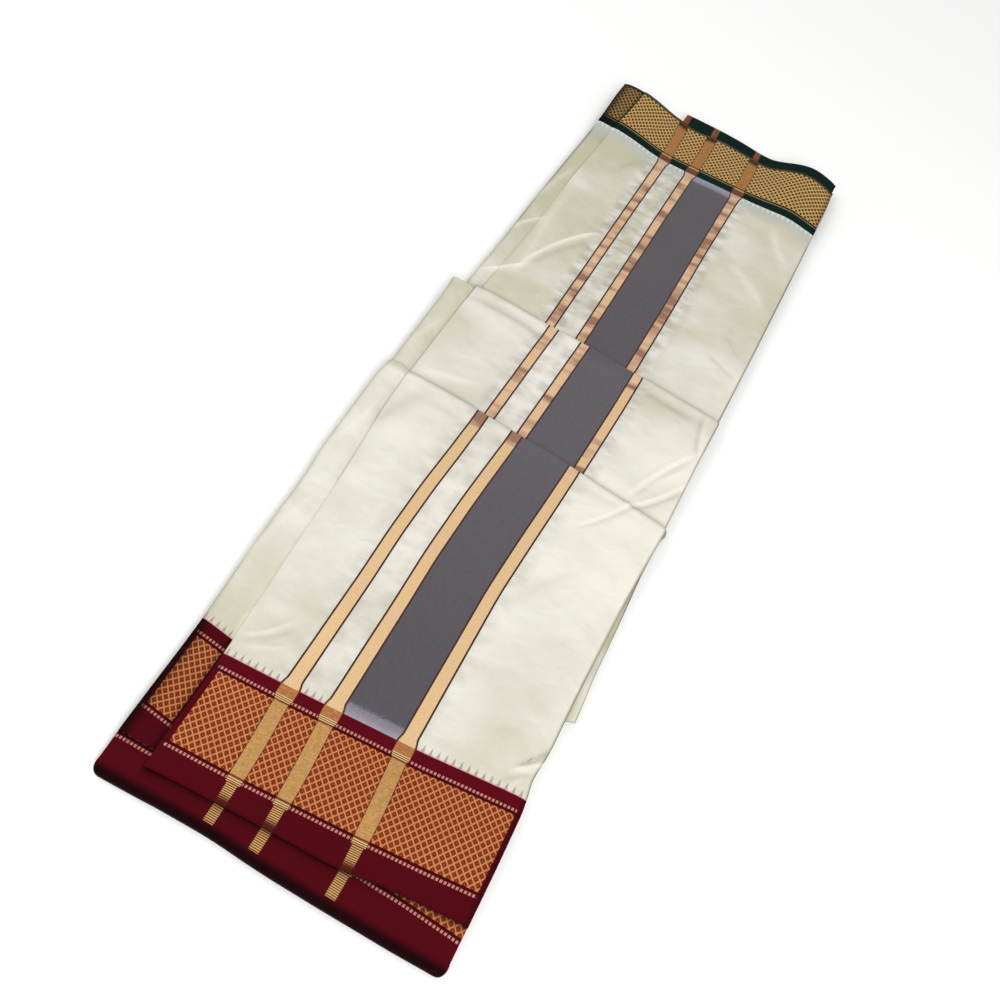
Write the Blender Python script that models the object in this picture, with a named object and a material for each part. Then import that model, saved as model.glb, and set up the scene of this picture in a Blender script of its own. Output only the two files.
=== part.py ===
"""A folded dhoti lying flat: a long cotton-silk cloth folded into a narrow bundle and tucked twice.

The bundle lies along Y, its maroon border at -Y and its green border at +Y, resting on Z = 0.
The top flap is the cloth's free end. It runs from its cut end on the left to the fold on the right,
and two knife tucks shorten it. Inside each tuck the cloth turns back under itself and forward again.
The second layer shows beyond the flap's cut end and the third along the maroon edge. What lies
below is one rounded solid, ridged at its sides like the folds and selvedges stacked there.

Sizes are in millimetres until the meshes are made. "Across" runs from left to right, 0 near the
middle, and "along" from the maroon end to the green end.
"""

from collections import namedtuple

import bpy
import numpy as np

MM = 0.001
ACROSS_MID = -5.0
ALONG_MID = 443.5

# ---- cloth walls and tucks ----
WALL = 1.0
GAP = 0.3
LAYER = WALL + GAP
CREST_RADIUS = 1.2
TUCK_RADIUS = 0.2
STEP = 2.0 * (CREST_RADIUS + TUCK_RADIUS)
TUCK_DEPTH = 100.0
ARC_STEPS = 4
OVERLAP = 13.0
SHELF = (19.0, 25.0)
EDGE_DROOP = 1.2
DROOP_REACH = 7.0
DROOP_PAST_EDGE = 1.3
DROOP_MIDDLE = 3.0
CORNER_RADIUS = 5.0
SINK = (-135.0, -104.0)
RECOVERY = (4.0, 40.0)
PUFF_SLACK = 0.6

# ---- the stack of hidden layers ----
CORE_INSET = 1.2
CORE_STEPS_EARLY = 2.5
CORE_SIDE = 2.5
CORE_NEAR_SHIFTS = (0.0, 4.0, 46.0, 48.0, 50.0, 110.0, 186.0, 188.0)
CORE_FAR_SHIFTS = (-8.0, -2.5)
CORE_ROUNDING_REACH = 40.0
RIDGES = 4
RIDGE_DEPTH = 1.6

# The strips of the third layer: how far each reaches in under the layers above it, the green one's
# end and columns, and where the stack below rises again past them.
THIRD_LAYER_REACH = 47.0
THIRD_LAYER_COLUMNS = (-30.0, 30.0, 80.0)
THIRD_LAYER_SHARES = (0.0, 0.15, 0.5, 1.0)
UNDER_GREEN_REACH = 46.0
UNDER_GREEN_LEFT = -50.0
UNDER_GREEN_MIDDLE = -10.0
UNDER_GREEN_COLUMNS = (20.0, 45.0, 65.0, 80.0, 95.0, 110.0)
UNDER_GREEN_RIGHT = (120.0, 126.0)
UNDER_GREEN_SHARES = (0.0, 0.5, 1.0)
RISE_PAST_STRIP = (1.0, 3.0)

# Lines that run along the flap, where they cross each distance along it.
FlapRow = namedtuple("FlapRow", "along free_end gold_1 gold_2 gold_3 right gold_width")
FLAP_LINES = {
    "maroon": (
        FlapRow(15, -99.5, -45.2, -11.1, 44.7, 126.5, 10.0),
        FlapRow(60, -100.5, -46.9, -13.1, 41.9, 125.8, 11.0),
        FlapRow(108, -101.5, -50.4, -17.5, 36.9, 123.6, 10.5),
    ),
    "near": (
        FlapRow(108, -101.5, -50.4, -17.5, 36.9, 123.6, 10.5),
        FlapRow(200, -107.3, -50.6, -18.5, 35.5, 124.6, 10.0),
        FlapRow(250, -109.7, -51.4, -19.4, 34.8, 124.5, 9.8),
        FlapRow(300, -114.0, -50.8, -18.5, 36.6, 125.0, 10.0),
        FlapRow(345, -117.8, -48.5, -16.5, 38.7, 126.5, 9.8),
        FlapRow(388, -119.3, -47.2, -14.4, 40.4, 128.5, 9.5),
    ),
    "middle": (
        FlapRow(388, -119.2, -42.3, -11.1, 43.5, 127.5, 8.5),
        FlapRow(465, -119.0, -39.9, -8.3, 46.2, 127.4, 8.6),
        FlapRow(512, -117.5, -38.4, -6.7, 46.8, 128.5, 8.7),
    ),
    "far": (
        FlapRow(512, -114.0, -43.6, -13.0, 38.3, 127.6, 8.4),
        FlapRow(600, -109.9, -43.1, -12.7, 39.2, 128.6, 8.4),
        FlapRow(700, -109.4, -42.8, -12.5, 39.2, 129.0, 8.4),
        FlapRow(797, -106.0, -42.1, -11.2, 40.6, 129.0, 9.5),
    ),
    "green": (
        FlapRow(797, -106.0, -42.1, -11.2, 40.6, 129.0, 9.5),
        FlapRow(840, -101.6, -43.8, -10.6, 40.2, 128.9, 10.5),
        FlapRow(878, -100.0, -46.2, -12.6, 38.2, 127.3, 10.5),
    ),
}

WHOLE_FLAP = [row for rows in FLAP_LINES.values() for row in rows]

# The bundle's left fold. It steps in where the second tuck ends.
FoldRow = namedtuple("FoldRow", "along across")
LEFT_FOLD_BEFORE_STEP = (
    FoldRow(0, -127.3),
    FoldRow(100, -129.3),
    FoldRow(150, -132.3),
    FoldRow(200, -134.6),
    FoldRow(250, -135.6),
    FoldRow(280, -138.8),
    FoldRow(350, -140.3),
    FoldRow(372, -141.2),
    FoldRow(395, -138.8),
    FoldRow(490, -139.3),
    FoldRow(514, -141.0),
)
LEFT_FOLD_AFTER_STEP = (
    FoldRow(516, -128.9),
    FoldRow(600, -127.3),
    FoldRow(692, -126.6),
    FoldRow(812, -124.0),
    FoldRow(847, -124.7),
    FoldRow(880, -123.9),
)

# The hidden layers' right folds: a tucked leaf stands proud of the flap from 187 to 378.
RIGHT_FOLDS = (
    FoldRow(0, 126.3),
    FoldRow(60, 125.6),
    FoldRow(120, 123.0),
    FoldRow(186, 124.4),
    FoldRow(188, 131.2),
    FoldRow(202, 131.0),
    FoldRow(228, 129.2),
    FoldRow(252, 130.0),
    FoldRow(300, 128.6),
    FoldRow(350, 129.4),
    FoldRow(374, 131.8),
    FoldRow(392, 127.8),
    FoldRow(460, 127.4),
    FoldRow(498, 129.4),
    FoldRow(520, 127.8),
    FoldRow(650, 129.0),
    FoldRow(847, 128.8),
    FoldRow(880, 127.0),
)

# Height of the cloth's face above the ground if the tucks' steps were filled in.
HeightRow = namedtuple("HeightRow", "along height")
CROWN = (
    HeightRow(0, 9.2),
    HeightRow(6, 10.2),
    HeightRow(20, 10.6),
    HeightRow(110, 11.0),
    HeightRow(200, 11.6),
    HeightRow(300, 12.6),
    HeightRow(388, 14.0),
    HeightRow(460, 15.8),
    HeightRow(514, 17.0),
    HeightRow(560, 16.7),
    HeightRow(700, 16.6),
    HeightRow(800, 16.8),
    HeightRow(888, 16.8),
)

# The green end is puffed up near both folds.
Puff = namedtuple("Puff", "across reach rise")
PUFFS = (Puff(-106.0, 52.0, 7.5), Puff(96.0, 44.0, 7.5))
PUFF_START = 780.0
PUFF_FULL = 880.0

# Lines that run across the bundle, as their distance along it.
CrossLine = namedtuple("CrossLine", "along slope bow")
NEAR_SELVEDGE = CrossLine(19.8, 0.062, 0.3)
MAROON_LINE = CrossLine(109.6, 0.064, 1.3)
CREST_1 = CrossLine(387.0, -0.080, -2.4)
CREST_2 = CrossLine(511.3, -0.055, -1.5)
SECOND_SELVEDGE = CrossLine(26.5, 0.0, 0.0)
SECOND_MAROON_LINE = CrossLine(103.0, -0.13, 0.0)
SECOND_CREST_LAG = (3.5, -2.5)

WaveRow = namedtuple("WaveRow", "across along")
GREEN_LINE = (
    WaveRow(-128, 810.5),
    WaveRow(-100, 807.0),
    WaveRow(-74, 803.5),
    WaveRow(-49, 798.6),
    WaveRow(0, 797.0),
    WaveRow(50, 799.0),
    WaveRow(100, 801.0),
    WaveRow(127, 795.5),
)
FLAP_FAR_EDGE = (
    WaveRow(-125, 880.0),
    WaveRow(-98, 877.5),
    WaveRow(-73, 875.0),
    WaveRow(-49, 871.0),
    WaveRow(-34, 867.5),
    WaveRow(0, 872.0),
    WaveRow(50, 866.5),
    WaveRow(75, 871.0),
    WaveRow(95, 874.0),
    WaveRow(127, 868.0),
)
UNDER_GREEN_EDGE = (
    WaveRow(-50, 887.5),
    WaveRow(-10, 887.5),
    WaveRow(45, 880.5),
    WaveRow(65, 881.5),
    WaveRow(95, 887.8),
    WaveRow(126, 883.5),
)

Finish = namedtuple("Finish", "colour roughness metallic")
FINISHES = {
    "cream_cotton_silk": Finish((0.78, 0.76, 0.64), 0.6, 0.0),
    "maroon_border_zari": Finish((0.16, 0.02, 0.02), 0.55, 0.0),
    "green_border_zari": Finish((0.42, 0.27, 0.09), 0.5, 0.2),
    "gold_zari_band": Finish((0.72, 0.46, 0.20), 0.4, 0.5),
    "grey_band": Finish((0.12, 0.11, 0.13), 0.7, 0.0),
}


def ramp(value, start, end):
    """Return 0 before start and 1 after end, in a straight line between."""
    return np.clip((value - start) / (end - start), 0.0, 1.0)


def read(rows, place, column="across", by="along"):
    """Read a table's column at a place, with straight lines between its rows."""
    return np.interp(place, [getattr(row, by) for row in rows], [getattr(row, column) for row in rows])


def line_across(line, across):
    """Distance along the bundle of a line that crosses it, at each place across."""
    if isinstance(line, CrossLine):
        return line.along + line.slope * across + line.bow * (across / 100.0) ** 2
    return read(line, across, "along", "across")


def left_fold(across, along):
    """Place of the bundle's left fold, level with each point."""
    stepped_in = along > line_across(CREST_2, across)
    return np.where(stepped_in, read(LEFT_FOLD_AFTER_STEP, along), read(LEFT_FOLD_BEFORE_STEP, along))


def flap_line(panel, along, column):
    """Place across of one of the lines that run along the flap, in one of its panels."""
    return read(FLAP_LINES[panel], along, column)


def puffing(across, along):
    """Rise of the face where the green end is puffed up near its folds."""
    rise = 0.0
    for puff in PUFFS:
        reach = np.clip(1.0 - ((across - puff.across) / puff.reach) ** 2, 0.0, 1.0) ** 2
        rise = rise + puff.rise * reach * ramp(along, PUFF_START, PUFF_FULL)
    return rise


def crown(across, along):
    """Height of the face with no steps: the table's, the puffed corners, less the droop at the folds."""
    from_left = across - left_fold(across, along)
    from_right = read(WHOLE_FLAP, along, "right") - across
    nearness = np.clip(1.0 - np.minimum(from_left, from_right) / DROOP_REACH, 0.0, DROOP_PAST_EDGE)
    return read(CROWN, along, "height") + puffing(across, along) - EDGE_DROOP * nearness ** 2


def past(line, across, along, start, end):
    """Return 0 before a line that crosses the bundle and 1 after it, between two shifts from it."""
    place = line_across(line, across)
    return ramp(along, place + start, place + end)


def flap_stack(across, along):
    """Height taken by the flap, its tucks and the gap under it."""
    inside = (-TUCK_DEPTH - 4.0, -TUCK_DEPTH - 2.0)
    return LAYER + STEP * (past(CREST_1, across, along, *inside) + past(CREST_2, across, along, *inside))


def second_face(across, along):
    """Height of the second layer's face before its own steps: it sinks to let the flap's tuck lie."""
    sunk = past(CREST_1, across, along, *SINK) - past(CREST_2, across, along, *RECOVERY)
    return crown(across, along) - LAYER - STEP * sunk


def second_stack(across, along):
    """Height that the second layer, its tucks and the gap under it take below its face."""
    inside = (-TUCK_DEPTH - 1.0, -TUCK_DEPTH + 1.0)
    tucks = past(CREST_1, across, along, *inside)
    return LAYER + STEP * (tucks + past(CREST_2, across, along, -TUCK_DEPTH - 7.0, -TUCK_DEPTH - 5.0))


def shelf_share(across, along):
    """Return 1 where the second layer lies and 0 where the flap rests on the hidden layers."""
    free_end = read(WHOLE_FLAP, along, "free_end")
    return 1.0 - np.clip((across - free_end - SHELF[0]) / (SHELF[1] - SHELF[0]), 0.0, 1.0)


def third_face(across, along):
    """Height of the topmost hidden layer's face."""
    under_flap = crown(across, along) - flap_stack(across, along)
    under_second = second_face(across, along) - second_stack(across, along)
    share = shelf_share(across, along)
    slack = PUFF_SLACK * np.minimum(3.0 * puffing(across, along), 1.0)
    return under_flap * (1.0 - share) + under_second * share - slack


# ---- meshes ----


def finish_material(name):
    """Return the named Principled material, made on first use."""
    material = bpy.data.materials.get(name)
    if material is None:
        finish = FINISHES[name]
        material = bpy.data.materials.new(name)
        material.use_nodes = True
        shader = material.node_tree.nodes["Principled BSDF"]
        shader.inputs["Base Color"].default_value = (*finish.colour, 1.0)
        shader.inputs["Roughness"].default_value = finish.roughness
        shader.inputs["Metallic"].default_value = finish.metallic
    return material


def add_object(name, points, faces, finish):
    """Make one named object from points in millimetres and the faces that close it."""
    placed = (np.asarray(points) - np.array([ACROSS_MID, ALONG_MID, 0.0])) * MM
    mesh = bpy.data.meshes.new(name)
    mesh.from_pydata(placed.tolist(), [], faces)
    mesh.update()
    mesh.materials.append(finish_material(finish))
    piece = bpy.data.objects.new(name, mesh)
    bpy.context.scene.collection.objects.link(piece)
    return piece


def split_quad(a, b, c, d):
    """Return the two triangles of a quad."""
    return [(a, b, c), (a, c, d)]


def add_wall(name, face, back, finish):
    """Close two grids of points, the cloth's face and its back, into one wall with rims."""
    rows, columns = face.shape[:2]
    count = rows * columns

    def at(row, column, side):
        return side * count + row * columns + column

    faces = []
    for row in range(rows - 1):
        for column in range(columns - 1):
            corners = [(row, column), (row, column + 1), (row + 1, column + 1), (row + 1, column)]
            faces += split_quad(*[at(*corner, 0) for corner in corners])
            faces += split_quad(*[at(*corner, 1) for corner in reversed(corners)])
    rim = [(0, column) for column in range(columns)]
    rim += [(row, columns - 1) for row in range(1, rows)]
    rim += [(rows - 1, column) for column in range(columns - 2, -1, -1)]
    rim += [(row, 0) for row in range(rows - 2, 0, -1)]
    for start, end in zip(rim, rim[1:] + rim[:1]):
        faces += split_quad(at(*start, 0), at(*start, 1), at(*end, 1), at(*end, 0))
    points = np.concatenate([face.reshape(-1, 3), back.reshape(-1, 3)])
    return add_object(name, points, faces, finish)


PathRow = namedtuple("PathRow", "line share shift lift back_shift back_lift")


def level_rows(start, end, shares, lift):
    """Rows of flat cloth between two lines that cross the bundle."""
    return [PathRow((start, end), share, 0.0, lift, 0.0, lift - WALL) for share in shares]


def turn_rows(line, shift, lift, face_radius, back_radius, side):
    """Rows down a half turn about a centre: forward over a crest (side 1) or backward in a tuck (-1)."""
    rows = []
    for angle in np.linspace(0.0, np.pi, ARC_STEPS + 1):
        out, up = side * np.sin(angle), np.cos(angle)
        rows.append(PathRow(
            (line, line), 0.0,
            shift + face_radius * out, lift + face_radius * up,
            shift + back_radius * out, lift + back_radius * up,
        ))
    return rows


def crest_rows(line, lift):
    """Rows over a panel's crest and back under it, as far as the turn inside the tuck."""
    rows = turn_rows(line, 0.0, lift - CREST_RADIUS, CREST_RADIUS, CREST_RADIUS - WALL, 1)
    under = lift - 2.0 * CREST_RADIUS
    for reach in (TUCK_DEPTH * 0.5, TUCK_DEPTH - GAP):
        rows.append(PathRow((line, line), 0.0, -reach, under, -reach, under + WALL))
    return rows


def tuck_rows(line, lift):
    """Rows of the turn inside a tuck and forward again, as far as the crest above."""
    centre = lift - 2.0 * CREST_RADIUS - TUCK_RADIUS
    return turn_rows(line, -TUCK_DEPTH, centre, TUCK_RADIUS, TUCK_RADIUS + WALL, -1)


def path_grid(rows, across_at, lift_at):
    """Turn path rows into the two grids of points of a wall.

    across_at(along) gives the columns' places, and lift_at(across, along) the face's height.
    """
    face, back = [], []
    for row in rows:
        start, end = row.line
        middle = (1.0 - row.share) * line_across(start, 0.0) + row.share * line_across(end, 0.0)
        across = across_at(middle + row.shift)
        place = (1.0 - row.share) * line_across(start, across) + row.share * line_across(end, across)
        for grid, shift, lift in ((face, row.shift, row.lift), (back, row.back_shift, row.back_lift)):
            along = place + shift
            grid.append(np.stack([across, along, lift_at(across, along) + lift], axis=-1))
    return np.array(face), np.array(back)


# ---- the top flap ----


def moved(line, distance):
    """A line that crosses the bundle, moved along it."""
    if isinstance(line, CrossLine):
        return line._replace(along=line.along + distance)
    return tuple(row._replace(along=row.along + distance) for row in line)


def strip_columns(strip, panel, along):
    """Places across of one strip's columns in one panel of the flap."""
    half = 0.5 * flap_line(panel, along, "gold_width")
    seam = 0.5 * GAP
    gold = {number: flap_line(panel, along, "gold_%d" % number) for number in (1, 2, 3)}
    free_end = flap_line(panel, along, "free_end")
    right = flap_line(panel, along, "right")
    if strip == "cream_left":
        return np.linspace(free_end, gold[1] - half - seam, 4)
    if strip == "cream_between":
        return np.linspace(gold[1] + half + seam, gold[2] - half - seam, 3)
    if strip == "grey_band":
        return np.linspace(gold[2] + half + seam, gold[3] - half - seam, 3)
    if strip == "cream_right":
        start = gold[3] + half + seam
        return np.concatenate([np.linspace(start, right - DROOP_REACH, 4), [right - DROOP_MIDDLE, right]])
    number = int(strip[-1])
    return np.array([gold[number] - half + seam, gold[number] + half - seam])


STRIPS = {
    "cream_left": "cream_cotton_silk",
    "gold_band_1": "gold_zari_band",
    "cream_between": "cream_cotton_silk",
    "gold_band_2": "gold_zari_band",
    "grey_band": "grey_band",
    "gold_band_3": "gold_zari_band",
    "cream_right": "cream_cotton_silk",
}
NEAR_SHARES = (0.0, 0.33, 0.67)
NEAR_SHIFTS = (*SINK, -60.0, -25.0)
MIDDLE_SHIFTS = (-50.0, 6.0, 40.0, 75.0, 100.0)
FAR_SHIFTS = (-50.0, -1.5, 1.0, *RECOVERY)
FAR_SHARES = (0.33, 0.66, 0.93, 1.0)
BORDER_SHARES = (0.0, 0.35, 0.7, 1.0)


def shifted_rows(line, shifts, lift):
    """Rows of flat cloth at named distances from a line that crosses the bundle."""
    return [PathRow((line, line), 0.0, shift, lift, shift, lift - WALL) for shift in shifts]


def panel_rows(panel, crests, start, end):
    """Rows of one panel's cloth, from the seam where it starts to the one where it ends."""
    if panel == "near":
        rows = level_rows(start, moved(CREST_1, SINK[0]), NEAR_SHARES, 0.0)
        return rows + shifted_rows(CREST_1, NEAR_SHIFTS, 0.0) + crest_rows(crests[0], 0.0)
    if panel == "middle":
        rows = tuck_rows(crests[0], 0.0) + shifted_rows(CREST_1, MIDDLE_SHIFTS, -STEP)
        return rows + crest_rows(crests[1], -STEP)
    rows = tuck_rows(crests[1], -STEP) + shifted_rows(CREST_2, FAR_SHIFTS, -2.0 * STEP)
    return rows + level_rows(moved(CREST_2, RECOVERY[1]), end, FAR_SHARES, -2.0 * STEP)


def border_columns(panel, along):
    """Places across of the columns of the flap's borders: every strip's, sharing one at each seam."""
    first, *others = [strip_columns(strip, panel, along) for strip in STRIPS]
    return np.concatenate([first] + [places[1:] for places in others])


def build_flap():
    """The top flap: its two borders, and the strips woven between them through both tucks."""
    near_line = moved(MAROON_LINE, 0.5 * GAP)
    far_line = moved(GREEN_LINE, -0.5 * GAP)
    for panel in ("near", "middle", "far"):
        rows = panel_rows(panel, (CREST_1, CREST_2), near_line, far_line)
        for strip, finish in STRIPS.items():
            face, back = path_grid(rows, lambda along: strip_columns(strip, panel, along), crown)
            add_wall("%s_%s" % (panel, strip), face, back, finish)
    rows = level_rows(NEAR_SELVEDGE, moved(MAROON_LINE, -0.5 * GAP), BORDER_SHARES, 0.0)
    face, back = path_grid(rows, lambda along: border_columns("maroon", along), crown)
    add_wall("flap_maroon_border", face, back, "maroon_border_zari")
    rows = level_rows(moved(GREEN_LINE, 0.5 * GAP), FLAP_FAR_EDGE, BORDER_SHARES, -2.0 * STEP)
    face, back = path_grid(rows, lambda along: border_columns("green", along), crown)
    add_wall("flap_green_border", face, back, "green_border_zari")


# ---- the second layer ----


def second_columns(panel, along):
    """Places across of the second layer's columns, from the left fold to its edge under the flap."""
    table = LEFT_FOLD_AFTER_STEP if panel in ("far", "green") else LEFT_FOLD_BEFORE_STEP
    fold = read(table, along)
    inner = flap_line(panel, along, "free_end") + OVERLAP
    return np.array([fold, fold + DROOP_MIDDLE, fold + DROOP_REACH, inner])


def build_second_layer():
    """The layer under the flap, as far as it shows: borders at its ends and three tucked panels."""
    crests = tuple(moved(line, lag) for line, lag in zip((CREST_1, CREST_2), SECOND_CREST_LAG))
    near_line = moved(SECOND_MAROON_LINE, 0.5 * GAP)
    far_line = moved(GREEN_LINE, -0.5 * GAP)
    for panel in ("near", "middle", "far"):
        rows = panel_rows(panel, crests, near_line, far_line)
        face, back = path_grid(rows, lambda along: second_columns(panel, along), second_face)
        add_wall("second_%s_panel" % panel, face, back, "cream_cotton_silk")
    end_line = moved(SECOND_MAROON_LINE, -0.5 * GAP)
    rows = level_rows(SECOND_SELVEDGE, end_line, BORDER_SHARES, 0.0)
    face, back = path_grid(rows, lambda along: second_columns("maroon", along), second_face)
    add_wall("second_maroon_border", face, back, "maroon_border_zari")
    rows = level_rows(moved(GREEN_LINE, 0.5 * GAP), FLAP_FAR_EDGE, BORDER_SHARES, -2.0 * STEP)
    face, back = path_grid(rows, lambda along: second_columns("green", along), second_face)
    add_wall("second_green_border", face, back, "green_border_zari")


# ---- the layers under them ----


def near_edge(across, left, right):
    """The bundle's maroon edge, rounded off at both corners in plan."""
    reach = np.clip(1.0 - np.minimum(across - left, right - across) / CORNER_RADIUS, 0.0, 1.0)
    return CORNER_RADIUS * (1.0 - np.sqrt(1.0 - reach ** 2))


def build_third_layer():
    """The strips of the next layer that show: plain maroon at one end, plain green at the other."""
    left, right = read(LEFT_FOLD_BEFORE_STEP, 0.0), read(RIGHT_FOLDS, 0.0)
    free_end = flap_line("maroon", 0.5 * THIRD_LAYER_REACH, "free_end")
    across = np.array([
        left, left + CORE_SIDE, left + CORNER_RADIUS, free_end + SHELF[0], free_end + SHELF[1],
        *THIRD_LAYER_COLUMNS, right - CORNER_RADIUS, right - CORE_SIDE, right,
    ])
    start = near_edge(across, left, right)
    grids = []
    for depth in (0.0, WALL):
        rows = []
        for share in THIRD_LAYER_SHARES:
            along = start + share * (THIRD_LAYER_REACH - start)
            rows.append(np.stack([across, along, third_face(across, along) - depth], axis=-1))
        grids.append(np.array(rows))
    add_wall("third_maroon_border", *grids, "maroon_border_zari")
    across = np.array([UNDER_GREEN_LEFT, UNDER_GREEN_MIDDLE, *UNDER_GREEN_COLUMNS, *UNDER_GREEN_RIGHT])
    start = line_across(GREEN_LINE, across) + UNDER_GREEN_REACH
    grids = []
    for depth in (0.0, WALL):
        rows = []
        for share in UNDER_GREEN_SHARES:
            along = start + share * (line_across(UNDER_GREEN_EDGE, across) - start)
            rows.append(np.stack([across, along, third_face(across, along) - depth], axis=-1))
        grids.append(np.array(rows))
    add_wall("third_green_border", *grids, "green_border_zari")


def core_height(across, along):
    """Height of the hidden stack: under the third layer's strips it is one layer lower."""
    start, end = RISE_PAST_STRIP
    under_maroon = 1.0 - ramp(along, THIRD_LAYER_REACH + start, THIRD_LAYER_REACH + end)
    under_green = past(GREEN_LINE, across, along, UNDER_GREEN_REACH - end, UNDER_GREEN_REACH - start)
    beside = ramp(across, UNDER_GREEN_LEFT - start - end, UNDER_GREEN_LEFT - end + start)
    slack = PUFF_SLACK * np.minimum(3.0 * puffing(across, along), 1.0)
    return third_face(across, along) - slack - LAYER * np.maximum(under_maroon, under_green * beside)


def core_columns(along):
    """Places across of the hidden stack's columns, from its left side to its right."""
    stepped_in = along > CREST_2.along - CORE_STEPS_EARLY
    left = CORE_INSET + read(LEFT_FOLD_AFTER_STEP if stepped_in else LEFT_FOLD_BEFORE_STEP, along)
    right = read(RIGHT_FOLDS, along) - CORE_INSET
    free_end = read(WHOLE_FLAP, along, "free_end")
    return np.array([
        left, left + CORE_SIDE, left + CORNER_RADIUS, free_end + SHELF[0], free_end + SHELF[1],
        UNDER_GREEN_LEFT - 5.0, UNDER_GREEN_LEFT - 1.0, UNDER_GREEN_MIDDLE, *UNDER_GREEN_COLUMNS,
        right - CORNER_RADIUS, right - CORE_SIDE, right,
    ])


# Lines across the hidden stack where its outline or its height changes, each with its shifts.
CORE_LINES = (
    (CREST_1, (*SINK, -102.0, -99.0, -50.0, -10.0, 8.0)),
    (CREST_2, (-107.0, -105.0, -104.0, -102.0, -50.0, -15.0, -3.5, -1.5, 1.0, *RECOVERY, 110.0, 190.0)),
    (GREEN_LINE, (-18.0, 22.0, 43.0, 45.0)),
)


def far_outline(across):
    """The hidden stack's green edge, set back under the flap's or under the third layer's strip."""
    flap = line_across(FLAP_FAR_EDGE, across) - 2.5
    under = line_across(UNDER_GREEN_EDGE, across) - 1.5
    return np.where(across > UNDER_GREEN_LEFT - 3.0, under, flap)


def build_hidden_layers():
    """The folded layers inside: a height field on the bundle's outline, ridged all round its sides."""
    plan = []
    for shift in CORE_NEAR_SHIFTS:
        across = core_columns(shift)
        rounding = near_edge(across, across[0], across[-1]) * (1.0 - ramp(shift, 0.0, CORE_ROUNDING_REACH))
        plan.append(np.stack([across, shift + rounding], axis=-1))
    for line, shifts in CORE_LINES:
        for shift in shifts:
            across = core_columns(line_across(line, 0.0) + shift)
            plan.append(np.stack([across, line_across(line, across) + shift], axis=-1))
    for shift in CORE_FAR_SHIFTS:
        across = core_columns(line_across(FLAP_FAR_EDGE, 0.0) + shift)
        plan.append(np.stack([across, far_outline(across) + shift - CORE_FAR_SHIFTS[-1]], axis=-1))
    plan = np.array(plan)
    top = core_height(plan[..., 0], plan[..., 1])
    add_stack("hidden_layers", plan, top, "cream_cotton_silk")


def add_stack(name, plan, top, finish):
    """Close a height field over its flat underside with sides that bulge and sink in ridges."""
    rows, columns = top.shape
    ring = [(0, column) for column in range(columns)]
    ring += [(row, columns - 1) for row in range(1, rows)]
    ring += [(rows - 1, column) for column in range(columns - 2, -1, -1)]
    ring += [(row, 0) for row in range(rows - 2, 0, -1)]
    edge = np.array([plan[place] for place in ring])
    height = np.array([top[place] for place in ring])
    inward = np.array([plan[min(max(row, 1), rows - 2), min(max(column, 1), columns - 2)]
                       for row, column in ring]) - edge
    inward /= np.linalg.norm(inward, axis=1, keepdims=True)
    levels = 2 * RIDGES
    points = [np.concatenate([plan.reshape(-1, 2), top.reshape(-1, 1)], axis=1)]
    points.append(np.concatenate([plan.reshape(-1, 2), np.zeros((rows * columns, 1))], axis=1))
    for level in range(1, levels):
        sunk = RIDGE_DEPTH if level % 2 == 0 else 0.0
        ring_height = height * level / levels
        ring_plan = edge + inward * (sunk - RIDGE_DEPTH * 0.5)
        points.append(np.concatenate([ring_plan, ring_height[:, None]], axis=1))
    count = rows * columns

    def ring_index(step, level):
        row, column = ring[step % len(ring)]
        if level == 0:
            return count + row * columns + column
        if level == levels:
            return row * columns + column
        return 2 * count + (level - 1) * len(ring) + step % len(ring)

    faces = []
    for row in range(rows - 1):
        for column in range(columns - 1):
            corners = [row * columns + column, row * columns + column + 1,
                       (row + 1) * columns + column + 1, (row + 1) * columns + column]
            faces += split_quad(*corners)
            faces += split_quad(*[count + corner for corner in reversed(corners)])
    for step in range(len(ring)):
        for level in range(levels):
            faces += split_quad(ring_index(step, level), ring_index(step + 1, level),
                                ring_index(step + 1, level + 1), ring_index(step, level + 1))
    return add_object(name, np.concatenate(points), faces, finish)


for item in list(bpy.data.objects):
    bpy.data.objects.remove(item)

build_flap()
build_second_layer()
build_third_layer()
build_hidden_layers()
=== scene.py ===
"""A folded dhoti lying flat: cream cotton-silk cloth with a maroon and a green zari border.

Sizes are in millimetres in the bundle's own frame until a mesh is made: "across" runs from left to
right, "along" from the maroon end to the green end, and height is above the ground.
"""

from functools import partial

import bpy
import numpy as np
from mathutils import Matrix, Vector


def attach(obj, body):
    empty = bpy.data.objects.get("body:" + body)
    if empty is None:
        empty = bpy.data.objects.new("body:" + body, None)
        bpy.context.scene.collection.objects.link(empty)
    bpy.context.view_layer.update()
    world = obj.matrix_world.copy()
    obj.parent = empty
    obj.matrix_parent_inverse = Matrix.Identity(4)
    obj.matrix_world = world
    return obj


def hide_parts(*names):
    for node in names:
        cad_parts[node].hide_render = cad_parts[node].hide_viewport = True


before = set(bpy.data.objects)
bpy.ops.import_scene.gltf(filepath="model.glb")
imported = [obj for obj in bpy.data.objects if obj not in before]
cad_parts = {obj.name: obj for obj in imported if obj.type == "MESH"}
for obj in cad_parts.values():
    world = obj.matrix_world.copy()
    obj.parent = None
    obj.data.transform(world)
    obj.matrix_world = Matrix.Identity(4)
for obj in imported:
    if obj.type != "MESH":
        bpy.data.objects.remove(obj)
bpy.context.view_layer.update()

# ---- the hidden layers ----
# The cloth's other layers, cotton-silk with a woven border at each end, folded to and fro under the
# top ones and pressed flat. Only their edges show: rounded folds along both sides, and pairs of
# selvedges at the maroon and green ends.

MM = 0.001
BUNDLE_MIDDLE = np.array([-5.0, 443.5, 0.0])
FINE = 1.8  # spacing of the rows and columns of cloth

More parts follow.
